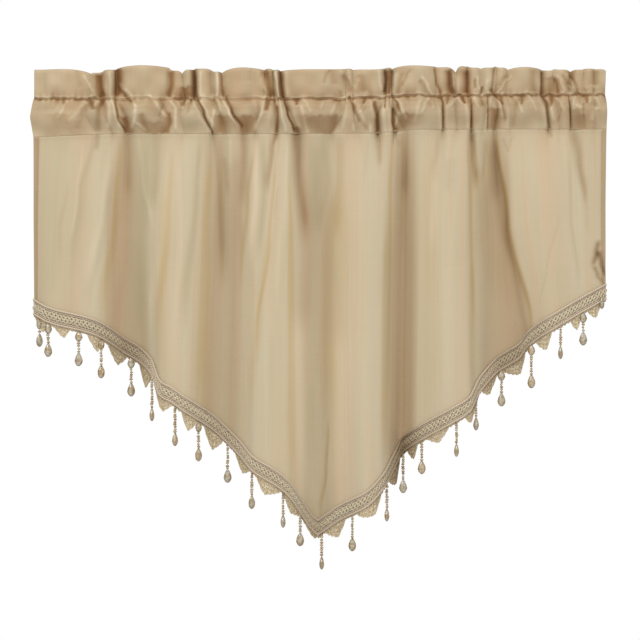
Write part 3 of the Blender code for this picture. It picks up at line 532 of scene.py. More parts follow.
def crease_sum(table, x, low, starts=0.12, ends=0.3, wobble=0.0):
    """Depth, shade and tone of a table's creases at places x and drops low, in mm."""
    deep, shade, tone = np.zeros_like(x), np.zeros_like(x), np.zeros_like(x)
    for row in table:
        t = (low + wobble * pucker(x * 0.9, 1.0) - row.low1) / (row.low3 - row.low1)
        lows, places = np.array([row.low1, row.low2, row.low3]), np.array([row.x1, row.x2, row.x3])
        path = smooth_line(lows, places, low)
        wide = row.wide1 + (row.wide3 - row.wide1) * np.clip(t, 0, 1)
        off = x - path
        sharp = np.where(off * row.edge > 0, SHARP, 1.0)
        window = smooth_step(0.5 + t / starts / 2) * smooth_step(0.5 + (1 - t) / ends)
        part = window * bell(off, wide * sharp)
        deep += row.deep * part
        shade += row.shade * part
        tone += row.tone * part
    return deep, shade, tone


class Hem:
    """The hem seen from above: places along it by length, with its forward direction."""

    def __init__(self):
        self.u = np.linspace(-HALF_WIDTH, HALF_WIDTH, 1605)
        x, y, _, _, _ = panel_at(self.u, np.ones_like(self.u))
        self.x, self.y = x, y
        self.top = braid_drop(self.u)
        self.length = np.concatenate([[0], np.cumsum(np.hypot(np.diff(x), np.diff(y)))])
        dx, dy = np.gradient(x, self.length), np.gradient(y, self.length)
        size = np.hypot(dx, dy)
        self.nx, self.ny = dy / size, -dx / size

    def read(self, values, where):
        return np.interp(where, self.length, values)

    def at(self, where, down, out):
        """Points in metres at lengths along the hem, mm below the braid's edge, mm in front."""
        out = out + TRIM_LIFT
        x = self.read(self.x, where) + self.read(self.nx, where) * out
        y = self.read(self.y, where) + self.read(self.ny, where) * out
        drop = self.read(self.top, where) + down
        return np.stack([x, y, -drop], axis=-1) * MM

    def length_at(self, across):
        return float(np.interp(across, self.x, self.length))


HEM = Hem()
HEM_END = float(HEM.length[-1])
HEM_POINT = float(np.interp(POINT, HEM.u, HEM.length))


def root_lengths(first, last):
    """The bead threads that hang between two lengths of the hem, with their rows."""
    found = []
    for row in DANGLES:
        where = HEM.length_at(row.across)
        if first <= where <= last:
            found.append((min(max(where, first + 6), last - 4), row))
    return found


def read_points(mesh):
    points = np.empty(len(mesh.vertices) * 3)
    mesh.vertices.foreach_get("co", points)
    return points.reshape(-1, 3)


def write_points(mesh, points):
    mesh.vertices.foreach_set("co", np.ascontiguousarray(points).ravel())
    mesh.update()


def grid_shares(wide, high):
    """The places of a grid's points, both from 0 to 1, in the order that shaped_grid keeps."""
    up, across = np.divmod(np.arange(wide * high), wide)
    return across / (wide - 1), up / (high - 1)


def shaped_grid(name, wide, high, place, uv=None):
    """A grid of wide by high points, laid out by place(across, up), both from 0 to 1."""
    bm = bmesh.new()
    bmesh.ops.create_grid(bm, x_segments=wide - 1, y_segments=high - 1, size=1.0, calc_uvs=True)
    bm.verts.sort(key=lambda v: round((v.co.y + 1) * 1e4) * 1e5 + (v.co.x + 1) * 1e4)
    for edge in bm.edges:
        edge.smooth = not edge.is_boundary
    mesh = bpy.data.meshes.new(name)
    bm.to_mesh(mesh)
    bm.free()
    across, up = grid_shares(wide, high)
    write_points(mesh, place(across, up))
    if uv is not None:
        corner = np.empty(len(mesh.loops), int)
        mesh.loops.foreach_get("vertex_index", corner)
        layer = mesh.uv_layers[0] if mesh.uv_layers else mesh.uv_layers.new(name="UVMap")
        layer.data.foreach_set("uv", uv(across, up)[corner].ravel())
    return mesh


def paint(mesh, name, values):
    """Keeps one number for each point under the given name."""
    layer = mesh.attributes.new(name, "FLOAT", "POINT")
    layer.data.foreach_set("value", np.asarray(values, np.float32))


@contextmanager
def edited(mesh):
    """Opens a mesh for changes and puts it back with its faces turned outward."""
    bm = bmesh.new()
    bm.from_mesh(mesh)
    yield bm
    bmesh.ops.recalc_face_normals(bm, faces=bm.faces)
    bm.to_mesh(mesh)
    bm.free()


def thicken(mesh, thickness):
    with edited(mesh) as bm:
        bmesh.ops.solidify(bm, geom=bm.faces[:], thickness=thickness)


def cloth_mesh(name, spots, flat, marks):
    """Cloth through rows of spots, with its places on the flat cloth as UV and its painted marks."""
    high, wide = spots.shape[:2]

    def pick(across, up):
        return np.round(up * (high - 1)).astype(int), np.round(across * (wide - 1)).astype(int)

    mesh = shaped_grid(
        name, wide, high,
        lambda across, up: spots[pick(across, up)] * MM,
        lambda across, up: flat[pick(across, up)] * MM,
    )
    chosen = pick(*grid_shares(wide, high))
    for mark, values in marks.items():
        paint(mesh, mark, values[chosen])
    return mesh


def give_thickness(obj, thickness):
    sheet = obj.modifiers.new("sheet", "SOLIDIFY")
    sheet.thickness, sheet.offset = thickness, 0.0


def cord_sides(centre, forward):
    """The two directions square to a line of points, the first nearest to forward."""
    tangent = np.gradient(centre, axis=0)
    tangent /= np.linalg.norm(tangent, axis=1)[:, None]
    side = np.cross(tangent, forward)
    side /= np.linalg.norm(side, axis=1)[:, None]
    return np.cross(side, tangent), side


def rolled_cord(name, sides, centre, out, side, radius, material, twist=0.0):
    """A cord as a rolled grid: centre, out and side are arrays of points and directions."""
    stations = len(centre)

    def place(across, up):
        i = np.round(across * (stations - 1)).astype(int)
        angle = up * 2 * np.pi
        turn = twist * across
        swell = radius * (1 + TWO_PLY * np.cos(2 * (angle - turn * 2 * np.pi))) if twist else radius
        swell = np.broadcast_to(swell, angle.shape)[:, None]
        return centre[i] + (out[i] * np.cos(angle)[:, None] + side[i] * np.sin(angle)[:, None]) * swell

    run = np.concatenate([[0], np.cumsum(np.linalg.norm(np.diff(centre, axis=0), axis=1))])

    def uv(across, up):
        i = np.round(across * (stations - 1)).astype(int)
        return np.stack([run[i], up], axis=-1)

    mesh = shaped_grid(name, stations, sides + 1, place, uv)
    with edited(mesh) as bm:
        bmesh.ops.remove_doubles(bm, verts=bm.verts, dist=1e-6)
        bmesh.ops.holes_fill(bm, edges=bm.edges, sides=0)
    mesh.materials.append(material)
    return mesh


def joined(name, meshes):
    """One mesh of several, each keeping its own material."""
    bm = bmesh.new()
    slots = []
    for mesh in meshes:
        start = len(bm.faces)
        bm.from_mesh(mesh)
        bm.faces.ensure_lookup_table()
        for material in mesh.materials:
            if material not in slots:
                slots.append(material)
        index = slots.index(mesh.materials[0]) if mesh.materials else 0
        for face in bm.faces[start:]:
            face.material_index = index
        bpy.data.meshes.remove(mesh)
    made = bpy.data.meshes.new(name)
    bm.to_mesh(made)
    bm.free()
    for material in slots:
        made.materials.append(material)
    return made


def add_piece(name, mesh, nodes=(), smooth=True):
    """Puts a finished mesh in the scene as a piece of the curtain."""
    if smooth:
        mesh.shade_smooth()
    obj = bpy.data.objects.new(name, mesh)
    bpy.context.scene.collection.objects.link(obj)
    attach(obj, "root")
    if nodes:
        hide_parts(*nodes)
    return obj


class Wire:
    """A shader socket or number whose sums add Math nodes."""

    def __init__(self, kit, value):
        self.kit, self.value = kit, value

    def _sum(self, operation, *others):
        return self.kit.node("ShaderNodeMath", {"operation": operation}, dict(enumerate((self, *others))))

    def __add__(self, other):
        return self._sum("ADD", other)

    def __sub__(self, other):
        return self._sum("SUBTRACT", other)

    def __mul__(self, other):
        return self._sum("MULTIPLY", other)

    def sine(self):
        return self._sum("SINE")

    def clamp(self):
        return self.kit.node("ShaderNodeClamp", {}, {0: self})


class Kit:
    """One material and the nodes added to it."""

    def __init__(self, name):
        self.material = bpy.data.materials.new(name)
        self.material.use_nodes = True
        self.tree = self.material.node_tree
        self.shader = self.tree.nodes["Principled BSDF"]

    def node(self, kind, settings=None, values=None, out=0):
        """Adds a node: its settings first, then the values or links of its sockets."""
        made = self.tree.nodes.new(kind)
        for key, value in (settings or {}).items():
            setattr(made, key, value)
        for key, value in (values or {}).items():
            self.feed(made.inputs[key], value)
        return Wire(self, made.outputs[out])

    def feed(self, socket, value):
        if isinstance(value, Wire):
            value = value.value
        if isinstance(value, bpy.types.NodeSocket):
            self.tree.links.new(value, socket)
        else:
            socket.default_value = value

    def uv(self, stretch):
        where = self.node("ShaderNodeTexCoord", out=2)
        return self.node("ShaderNodeMapping", {}, {"Vector": where, "Scale": stretch})

    def noise(self, vector, scale, detail=2.0, roughness=0.5):
        values = {"Vector": vector, "Scale": scale, "Detail": detail, "Roughness": roughness}
        return self.node("ShaderNodeTexNoise", {}, values)

    def mix(self, factor, a, b):
        a = (*a, 1.0) if isinstance(a, tuple) and len(a) == 3 else a
        b = (*b, 1.0) if isinstance(b, tuple) and len(b) == 3 else b
        return self.node("ShaderNodeMix", {"data_type": "RGBA"}, {0: factor, 6: a, 7: b}, out=2)

    def tint(self, factor, colour, by):
        values = {0: factor, 6: colour, 7: (*by, 1.0)}
        return self.node("ShaderNodeMix", {"data_type": "RGBA", "blend_type": "MULTIPLY"}, values, out=2)

    def painted(self, name):
        return self.node("ShaderNodeAttribute", {"attribute_name": name}, out=2)

    def bump(self, height, strength, distance):
        values = {"Height": height, "Strength": strength, "Distance": distance}
        return self.node("ShaderNodeBump", {}, values)

    def set(self, **values):
        for key, value in values.items():
            self.feed(self.shader.inputs[key.replace("_", " ")], value)


def colour(value):
    return tuple(float(c) for c in value)


# SINGLE_SHADES and DOUBLE_SHADES tint the painted shade in the folds of one and of two layers; CREST_LIGHT is
# the painted highlight on the ridges.
SINGLE_SHADES = ((0.68, 0.59, 0.50), (0.36, 0.25, 0.17))
DOUBLE_SHADES = ((0.58, 0.435, 0.31), (0.44, 0.28, 0.16))
THREAD_SHADOW = (0.84, 0.81, 0.77)
CREST_LIGHT = (0.78, 0.68, 0.52)
YARN_TURN = 0.0032


def taffeta(name, cloth, lined, deep, deepest):
    """Silky two-coloured cloth: its pattern follows the threads by UV, its painted shade and highlights the
    folds.
    """
    kit = Kit(name)
    broad = kit.noise(kit.uv((26.0, 0.8, 1.0)), 1.0, 1.0)
    fine = kit.noise(kit.uv((170.0, 2.2, 1.0)), 1.0, 3.0, 0.6)
    hair = kit.noise(kit.uv((760.0, 11.0, 1.0)), 1.0, 2.0)
    weft = kit.noise(kit.uv((14.0, 420.0, 1.0)), 1.0, 3.0, 0.6)
    tone = kit.painted("tone")
    # The painted shade of the folds, read from the mesh; below zero it stands for painted light.
    hollow = kit.painted("hollow")
    streaks = ((broad - 0.5) * 2.6 + (fine - 0.5) * 2.2 + 0.3).clamp()
    warm = (tone * 0.8 + (fine - 0.5) * 0.9).clamp()
    cool = (tone * -0.8 + (broad - 0.5) * 0.9 + (fine - 0.5) * -0.9).clamp()
    base = kit.mix(streaks, colour(cloth.light), colour(cloth.rose))
    base = kit.mix(warm, base, colour(cloth.gold))
    base = kit.mix(cool, base, colour(cloth.khaki))
    base = kit.tint(((hair - 0.5) * 2.2 + 0.4).clamp() * 0.22, base, THREAD_SHADOW)
    base = kit.tint(((weft - 0.5) * 2.6 + 0.4).clamp() * 0.13, base, THREAD_SHADOW)
    # Where the cloth lies double: partly its deeper colour, partly painted shade where less light comes
    # through.
    base = kit.mix(kit.painted("lined") * lined, base, kit.tint(1.0, base, colour(cloth.lined)))
    # Painted shade in the folds, deeper still in the darkest, and a painted highlight on the ridges.
    base = kit.tint(hollow.clamp(), base, deep)
    base = kit.tint((hollow - 0.95).clamp(), base, deepest)
    base = kit.mix((hollow * -0.7).clamp(), base, CREST_LIGHT)
    warp_bumps = kit.noise(kit.uv((1500.0, 70.0, 1.0)), 1.0, 1.0)
    weft_bumps = kit.noise(kit.uv((70.0, 1500.0, 1.0)), 1.0, 1.0)
    height = warp_bumps + weft_bumps + weft * 0.6
    kit.set(Base_Color=base, Roughness=(fine - 0.5) * 0.2 + cloth.roughness)
    kit.set(Normal=kit.bump(height, 0.25, 0.0004))
    kit.set(Sheen_Weight=0.05, Sheen_Roughness=0.4, Specular_IOR_Level=0.25)
    return kit.material


def shaded(kit, base, by=(0.40, 0.32, 0.22)):
    """Painted shade: darkens a trim's colour where the cloth behind it lies deep in a fold."""
    return kit.tint(kit.painted("hollow").clamp(), base, by)


def spun(name, main, dark, lobes, rough=0.65):
    """Twisted yarn: stripes wind round the cord by its UV."""
    kit = Kit(name)
    where = kit.node("ShaderNodeTexCoord", out=2)
    run = kit.node("ShaderNodeSeparateXYZ", {}, {0: where})
    round_it = kit.node("ShaderNodeSeparateXYZ", {}, {0: where}, out=1)
    wind = (run * (2 * math.pi / YARN_TURN) + round_it * (2 * math.pi * lobes)).sine()
    fuzz = kit.noise(kit.uv((900.0, 3.0, 1.0)), 1.0, 2.0)
    band = (wind * 0.5 + 0.5) * 0.7 + fuzz * 0.3
    base = shaded(kit, kit.mix(band.clamp(), dark, main))
    kit.set(Base_Color=base, Roughness=rough, Normal=kit.bump(band, 0.5, 0.0003))
    kit.set(Sheen_Weight=0.2, Specular_IOR_Level=0.3)
    return kit.material


def yarn(name, main, dark, scale, rough=0.75):
    """Matt knotted yarn for the lace and the ground of the braid."""
    kit = Kit(name)
    where = kit.node("ShaderNodeTexCoord", out=3)
    knots = kit.node("ShaderNodeTexVoronoi", {}, {"Vector": where, "Scale": scale})
    grain = kit.noise(where, scale * 0.5, 3.0)
    height = knots * -1.0 + grain
    shade = (knots * 1.5 - 0.25 + (grain - 0.5) * 0.8).clamp()
    base = shaded(kit, kit.mix(shade, main, dark))
    kit.set(Base_Color=base, Roughness=rough, Normal=kit.bump(height, 0.7, 0.0006))
    kit.set(Sheen_Weight=0.15, Specular_IOR_Level=0.25)
    return kit.material


def clear_bead(name, tint, other, clear):
    """Tinted clear bead, a little different from one thread to the next."""
    kit = Kit(name)
    where = kit.node("ShaderNodeTexCoord", out=3)
    thread = kit.node("ShaderNodeMapping", {}, {"Vector": where, "Scale": (30.0, 30.0, 14.0)})
    each = kit.noise(thread, 1.0, 0.0)
    cloud = kit.noise(where, 210.0, 1.0)
    base = kit.mix(((each - 0.5) * 5 + 0.5).clamp(), tint, other)
    base = kit.mix(((cloud - 0.5) * 8 + 0.35).clamp() * 0.8, base, (0.50, 0.34, 0.15))
    # Painted shade on the bead's edges, from the rim attribute.
    base = kit.tint(kit.painted("rim").clamp(), base, (0.36, 0.27, 0.19))
    kit.set(Base_Color=base, Roughness=0.12)
    kit.set(Transmission_Weight=clear, IOR=1.49, Coat_Weight=0.4, Coat_Roughness=0.05)
    return kit.material


def even_places(count):
    """Places along the seam that lie at even lengths of the hem."""
    return np.interp(np.linspace(0, HEM_END, count), HEM.length, HEM.u)


class CURTAIN_OT_panel(bpy.types.Operator):
    """Hangs the body cloth in its folds, with its side hems."""

    bl_idname = "curtain.panel"
    bl_label = "Panel"

    def execute(self, context):
        cloth = context.scene.curtain_cloth
        # Points across and rows up; the first rows lie behind the braid, the last in the seam.
        wide, high, tail, tucked = 400, 116, 4, 2
        places = even_places(wide)
        edge = np.minimum(places - places[0], places[-1] - places)
        double = smooth_step((SIDE_HEM - edge) / 1.2 + 0.5)
        stitched = bell(edge - SIDE_HEM + 1.5, 0.9)
        rows = []
        for k in range(high):
            if k < tail:
                share = 1 + (tail - k) / tail
            else:
                share = max(1 - ((k - tail) / (high - tucked - 1 - tail)) ** 1.12, 0)
            x, y, drop, hollow, tone = panel_at(places, np.full(wide, share))
            if k >= high - tucked:
                drop = drop - 1.2 * (k - high + tucked + 1)
            else:
                y = y - 0.9 * smooth_step(1 - (drop - seam_drop(places)) / 6)
            y = y - 0.5 * double + 0.5 * stitched
            # Painted shade along the side hems' stitching and over the double side hems, on top of the rows'
            # painted fold shade.
            rows.append([x, y, -drop, hollow + stitched * 0.2 + double * 0.32, tone, double])
        rows = np.moveaxis(rows, 1, 2)
        flat_x = np.tile(np.arange(wide) / (wide - 1) * HEM_END, (high, 1))
        # The rows' painted shade and their tone go on the mesh as attributes.
        mesh = cloth_mesh(
            "curtain_panel", rows[..., :3], np.stack([flat_x, rows[..., 2]], axis=-1),
            {"hollow": rows[..., 3], "tone": rows[..., 4], "lined": rows[..., 5]},
        )
        mesh.materials.append(taffeta("silky_cloth_single", cloth, 0.9, *SINGLE_SHADES))
        panel = add_piece("curtain_panel", mesh, ["panel"])
        give_thickness(panel, cloth.sheet)
        return {"FINISHED"}


def heading_section():
    """The folded heading from the front of the lower seam over the top to the back of it."""
    # The rows lie closer near the stitched line, where the puckers are.
    near_stitch = [0.885, 0.91, 0.93, 0.948, 0.964, 0.978, 0.99, 1.0]
    rows = [("front pocket", s) for s in [*np.linspace(0.0, 0.86, 24), *near_stitch]]
    rows += [("front header", s) for s in [0.02, 0.04, 0.06, 0.085, *np.linspace(0.12, 0.97, 15)]]
    rows += [("top fold", 1.0)]
    rows += [("back header", s) for s in np.linspace(0.97, 0.06, 5)]
    rows += [("back pocket", s) for s in np.linspace(1.0, 0.0, 8)]
    return rows


LAYER_SIDE = {"front": -1.0, "top": 0.0, "back": 1.0}


def heading_form(u, kind, share, side):
    """The smooth form of one row of the heading, before its creases: x, y and drop in mm."""
    i, t = gather(u)
    stitch_x, stitch = along(u, "stitch"), stitch_drop(u)
    if kind.endswith("pocket"):
        pocket_x = along(u, "pocket")
        x = np.where(
            share < 0.5, u * (1 - share * 2) + pocket_x * share * 2,
            pocket_x * (2 - share * 2) + stitch_x * (share * 2 - 1),
        )
        wide = float(smooth_line(np.array(POCKET_RISE[0]), np.array(POCKET_RISE[1]), share))
        bulge = (column(GATHERS, "puff")[i] + 0.5 * along(u, "tuck")) * crest(t, 0.65)
        full = POCKET_HALF + bulge * (1.0 if side < 0 else 0.5)
        ends = ripple(u, 0.45, 0.45) * (1 - share) + ripple(u, 0.5, 0.35) * share
        low = seam_drop(u) - SEAM_GAP / 2
        return x, ends * (1 - wide) + side * (full * wide + LAYER_GAP), low - share * (low - stitch)
    crown = along(u, "dip") * (1 - crest(t)) + column(GATHERS, "crown")[i] * crest(t)
    x = stitch_x * (1 - share) + along(u, "top") * share
    y = ripple(u, 0.5, 0.35) * (1 - share) + ripple(u, 1.0, 0.9) * share
    return x, y + side * LAYER_GAP * min(1.0, (1 - share) * 12 + 0.2), stitch * (1 - share) + crown * share


def heading_row(u, kind, share):
    """One row of the heading at places u: x, y and drop in mm, with its shade and tone."""
    side = LAYER_SIDE[kind.split()[0]]
    x, y, drop = heading_form(u, kind, share, side)
    _, t = gather(u)
    seam, stitch = seam_drop(u), stitch_drop(u)
    relief, shade, tone = crease_sum(HEADING_CREASES, x, drop, **HEADING_ENDS)
    shade = np.where(shade > 0, shade * 1.3, shade * 2.0)
    if kind == "back pocket":
        relief = relief * -0.4
        shade = shade * 0.5

    # The stitched line sinks in between two small lips, more in some places than in others.
    below_line = drop - stitch
    wave = pucker(u, 2.0)
    seen = 1.0
    for middle, half in QUIET_SEWING:
        seen = seen - 0.8 * np.exp(-(((u - middle) / half) ** 4))
    strong = seen * (0.9 + 0.45 * pucker(u * 0.45, 8.0))
    sewn = strong * bell(below_line - 1.2 - 0.6 * wave, 1.7 + 0.4 * wave)
    above = bell(below_line + 2.2, 1.3)
    below = bell(below_line - 5.0, 1.6)
    near = bell(below_line, 7.0)
    relief = relief - side * (1.1 * sewn - 0.5 * above - 0.4 * below) + 0.6 * near * wave
    relief = relief + 0.35 * bell(seam - drop, 5.0) * pucker(u * 0.8, 5.0)

    # Painted shade in the line, in the tucks, on the faint crumples and in wedges just under and over the line,
    # with painted light on the lips beside it.
    sunk = smooth_step(1 - crest(t, 0.5)) * np.clip(along(u, "tuck") / 9, 0, 1)
    shade = shade + sewn * (1.05 + 0.3 * wave) - 0.3 * above - 0.15 * below + near * 0.3 * wave
    rough = crumple(x, drop)
    wedge = np.exp(-np.abs(below_line - 4.0) / 3.5) * np.clip(pucker(u * 0.55, 4.0), 0, 1)
    upper = np.exp(-np.abs(below_line + 3.5) / 3.0) * np.clip(pucker(u * 0.4, 9.0), 0, 1)
    wedge = wedge + 0.5 * upper
    shade = shade + sunk * 0.25 + 0.14 * rough + 0.8 * wedge

    # Painted shade: the pocket darker up to the line and lighter at its foot, the header darker down to the
    # line.
    if kind == "front pocket":
        shade = shade + 0.36 * smooth_step((share - 0.45) / 0.4) - 0.2 * smooth_step(1 - share / 0.35)
    if kind == "front header":
        shade = shade + (0.1 + 0.15 * seen) * smooth_step(1.05 - share * 1.7)
    return x, y + (relief + rough), drop, np.clip(shade, -0.6, 1.5), tone


class CURTAIN_OT_heading(bpy.types.Operator):
    """Folds the top of the cloth over into the ruffled header and the open rod pocket."""

    bl_idname = "curtain.heading"
    bl_label = "Heading"

    def execute(self, context):
        cloth = context.scene.curtain_cloth
        section = heading_section()
        wide = 700
        places = np.linspace(-HALF_WIDTH, HALF_WIDTH, wide)
        rows = np.moveaxis([heading_row(places, kind, share) for kind, share in section], 1, 2)
        rows[..., 2] *= -1
        spots = rows[..., :3]
        down = np.linalg.norm(np.diff(spots, axis=0), axis=2)
        run = np.concatenate([np.zeros((1, wide)), np.cumsum(down, axis=0)])
        step = np.linalg.norm(np.diff(spots, axis=1), axis=2).mean(axis=0)
        flat_x = np.tile(np.concatenate([[0], np.cumsum(step)]), (len(section), 1))
        # The rows' painted shade and their tone go on the mesh as attributes.
        mesh = cloth_mesh(
            "curtain_heading", spots, np.stack([flat_x, run], axis=-1),
            {"hollow": rows[..., 3], "tone": rows[..., 4], "lined": np.ones_like(run)},
        )
        mesh.materials.append(taffeta("silky_cloth_double", cloth, 1.0, *DOUBLE_SHADES))
        heading = add_piece("curtain_heading", mesh, ["heading"])
        give_thickness(heading, cloth.sheet)
        return {"FINISHED"}


def hem_path(where, down, out):
    """A line along the hem in metres, with its forward and sideways directions."""
    centre = HEM.at(where, down, out)
    forward = np.stack([HEM.read(HEM.nx, where), HEM.read(HEM.ny, where), 0 * where], axis=-1)
    return centre, *cord_sides(centre, forward)


def hem_cord(first, last, down, out, radius, sides, turn, material, step=0.9):
    """A twisted cord sewn along the hem; down and out may vary along it."""
    where = np.linspace(first, last, int((last - first) / step) + 2)
    level = down(where) if callable(down) else np.full(len(where), down)
    proud = out(where) if callable(out) else np.full(len(where), out)
    centre, forward, side = hem_path(where, level, proud)
    twist = (last - first) / turn if turn else 0.0
    return rolled_cord("cord", sides, centre, forward, side, radius * MM, material, twist)


def ground_strip(first, last, material):
    """The woven ground under the gimp, from edge cord to edge cord."""
    stations = int((last - first) / 2.2)

    def place(across, up):
        where = first + (last - first) * across
        return HEM.at(where, 0.8 + (BRAID_DROP - 1.6) * (1 - up), np.full(len(up), -0.1))

    mesh = shaped_grid("ground", stations, 9, place)
    thicken(mesh, 0.0005)
    mesh.materials.append(material)
    return mesh


def paint_trim(mesh):
    """Paints shade on a trim's mesh where the hem behind it lies deep in a fold."""
    x = read_points(mesh)[:, 0] / MM
    across, shade = np.array(TRIM_SHADE).T
    paint(mesh, "hollow", np.interp(x, across, shade))


RUNS = {"left": (0.0, HEM_POINT - 0.2), "right": (HEM_POINT + 0.2, HEM_END)}


# The edge cords of the braid: mm below its upper edge and in front of the cloth, share of the
# cord's radius, sides of its section and length of one turn in mm.
EDGE_CORDS = (
    (1.6, 1.3, 1.0, 8, 5.2), (4.5, 0.8, 0.6, 6, 3.6), (18.7, 0.8, 0.6, 6, 3.6), (21.5, 1.2, 0.95, 8, 5.2),
)


class CURTAIN_OT_braid(bpy.types.Operator):
    """Sews the braid along both sloping runs of the hem: edge cords, plaited gimp and ground."""

    bl_idname = "curtain.braid"
    bl_label = "Braid"

    def execute(self, context):
        trim = context.scene.curtain_trim
        cord = spun("edge_cord", colour(trim.cord_colour), (0.42, 0.33, 0.24), 2)
        gimp = spun("gimp_yarn", colour(trim.gimp_colour), (0.36, 0.29, 0.18), 1, 0.7)
        ground = yarn("braid_ground", (0.66, 0.585, 0.43), (0.38, 0.30, 0.19), 700.0)
        thick = trim.cord / MM
        pitch = trim.pitch / MM
        for side, (first, last) in RUNS.items():
            meshes = [
                hem_cord(first, last, down, out, thick * share, sides, turn, cord)
                for down, out, share, sides, turn in EDGE_CORDS
            ]
            meshes.append(ground_strip(first, last, ground))
            meshes += [self.plait(first, last, pitch, strand / 3, gimp) for strand in range(3)]
            mesh = joined(f"braid_{side}", meshes)
            paint_trim(mesh)
            add_piece(f"braid_{side}", mesh, [f"trim_{side}"])
        return {"FINISHED"}

    def plait(self, first, last, pitch, phase, material):
        """One strand of the plait: it swings from side to side and passes over and under."""

        def level(where):
            swing = 4.5 + 0.5 * np.sin(where / 13 + phase * 9)
            return 11.6 + swing * np.sin((where / pitch + phase) * 2 * np.pi)

        def proud(where):
            return 0.8 + 0.55 * np.cos((where / pitch + phase) * 4 * np.pi)

        return hem_cord(first, last, level, proud, 1.6, 6, 3.4, material, step=0.8)


class CURTAIN_OT_lace(bpy.types.Operator):
    """Makes the lace points that hang under the braid between the bead threads."""

    bl_idname = "curtain.lace"
    bl_label = "Lace"

    def execute(self, context):
        trim = context.scene.curtain_trim
        lace = yarn("lace_yarn", colour(trim.lace_colour), (0.40, 0.30, 0.16), 400.0)
        edge = spun("lace_edge", colour(trim.lace_colour), (0.40, 0.31, 0.19), 2)
        for side, (first, last) in RUNS.items():
            meshes = []
            for row in LACE:
                tip = HEM.length_at(row.tip)
                if first < tip < last:
                    start = max(HEM.length_at(row.start), first)
                    end = min(HEM.length_at(row.end), last)
                    meshes += self.fan(row, start, tip, end, lace, edge)
            scallop = self.scallops(first, last, edge)
            mesh = joined(f"lace_{side}", meshes + [scallop])
            paint_trim(mesh)
            add_piece(f"lace_{side}", mesh)
        return {"FINISHED"}

    def fan(self, row, start, tip, end, lace, edge):
        """One lace point: a netted fan with ribs and a toothed cord round it, and two inner cords."""
        most = row.low - BRAID_DROP - float(HEM.read(HEM.top, tip))

        def reach(where):
            before = (where - start) / (tip - start)
            after = (end - where) / (end - tip)
            share = np.clip(np.where(where < tip, before, after), 0, 1)
            lobes = 2.0 * np.abs(np.sin((where - tip) / 5.8 * np.pi + 0.6)) * np.sqrt(share)
            teeth = 1.0 * np.abs(np.sin((where - start) / 2.7 * np.pi)) * np.sqrt(share)
            return 0.6 + (most - 2.4) * share**0.75 + lobes + teeth

        stations = int((end - start) / 0.8) + 1
        high = max(int(most / 0.8), 6)
        tuck = 1.8

        def place(across, up):
            where = start + (end - start) * across
            lean = (across - 0.5) * (1 - up)
            rib = 0.35 * np.sin(where / 2.6 * np.pi) * (1 - up)
            down = BRAID_DROP - tuck + (reach(where) + tuck) * (1 - up)
            return HEM.at(where, down, 0.1 + rib + 0.6 * lean**2)

        sheet = shaped_grid("net", stations, high, place)
        with edited(sheet) as bm:
            holes = []
            for face in bm.faces:
                k, j = divmod(min(v.index for v in face.verts), stations)
                inside = 1 < k < high - 3 and 1 < j < stations - 3
                if inside and (j + 2 * (k // 3 % 2)) % 4 == 1 and k % 3 == 1:
                    holes.append(face)
            bmesh.ops.delete(bm, geom=holes, context="FACES")
            bmesh.ops.solidify(bm, geom=bm.faces[:], thickness=0.0007)
        sheet.materials.append(lace)

        def rim(where):
            return BRAID_DROP + reach(where)

        made = [sheet, hem_cord(start, end, rim, 0.15, 0.75, 6, 2.6, edge, step=0.55)]
        for part in (0.62, 0.3):
            made.append(hem_cord(
                start + 1.5, end - 1.5, lambda where: BRAID_DROP + reach(where) * part,
                0.45, 0.42, 5, 0, edge,
            ))
        return made

    def scallops(self, first, last, edge):
        """The lace's footing: a netted strip with small loops along the braid's lower edge."""

        def level(where):
            loops = np.abs(np.sin(where / 5.0 * np.pi)) ** 1.2
            return BRAID_DROP + 1.2 + (1.6 + 0.9 * np.sin(where / 17.0)) * loops

        def place(across, up):
            where = first + (last - first) * across
            return HEM.at(where, BRAID_DROP - 1.5 + (level(where) - BRAID_DROP + 1.5) * (1 - up), 0.05)

        strip = shaped_grid("footing", int((last - first) / 0.9), 4, place)
        thicken(strip, 0.0006)
        strip.materials.append(edge)
        return joined("footing", [strip, hem_cord(first, last, level, 0.2, 0.6, 5, 2.8, edge, step=0.8)])


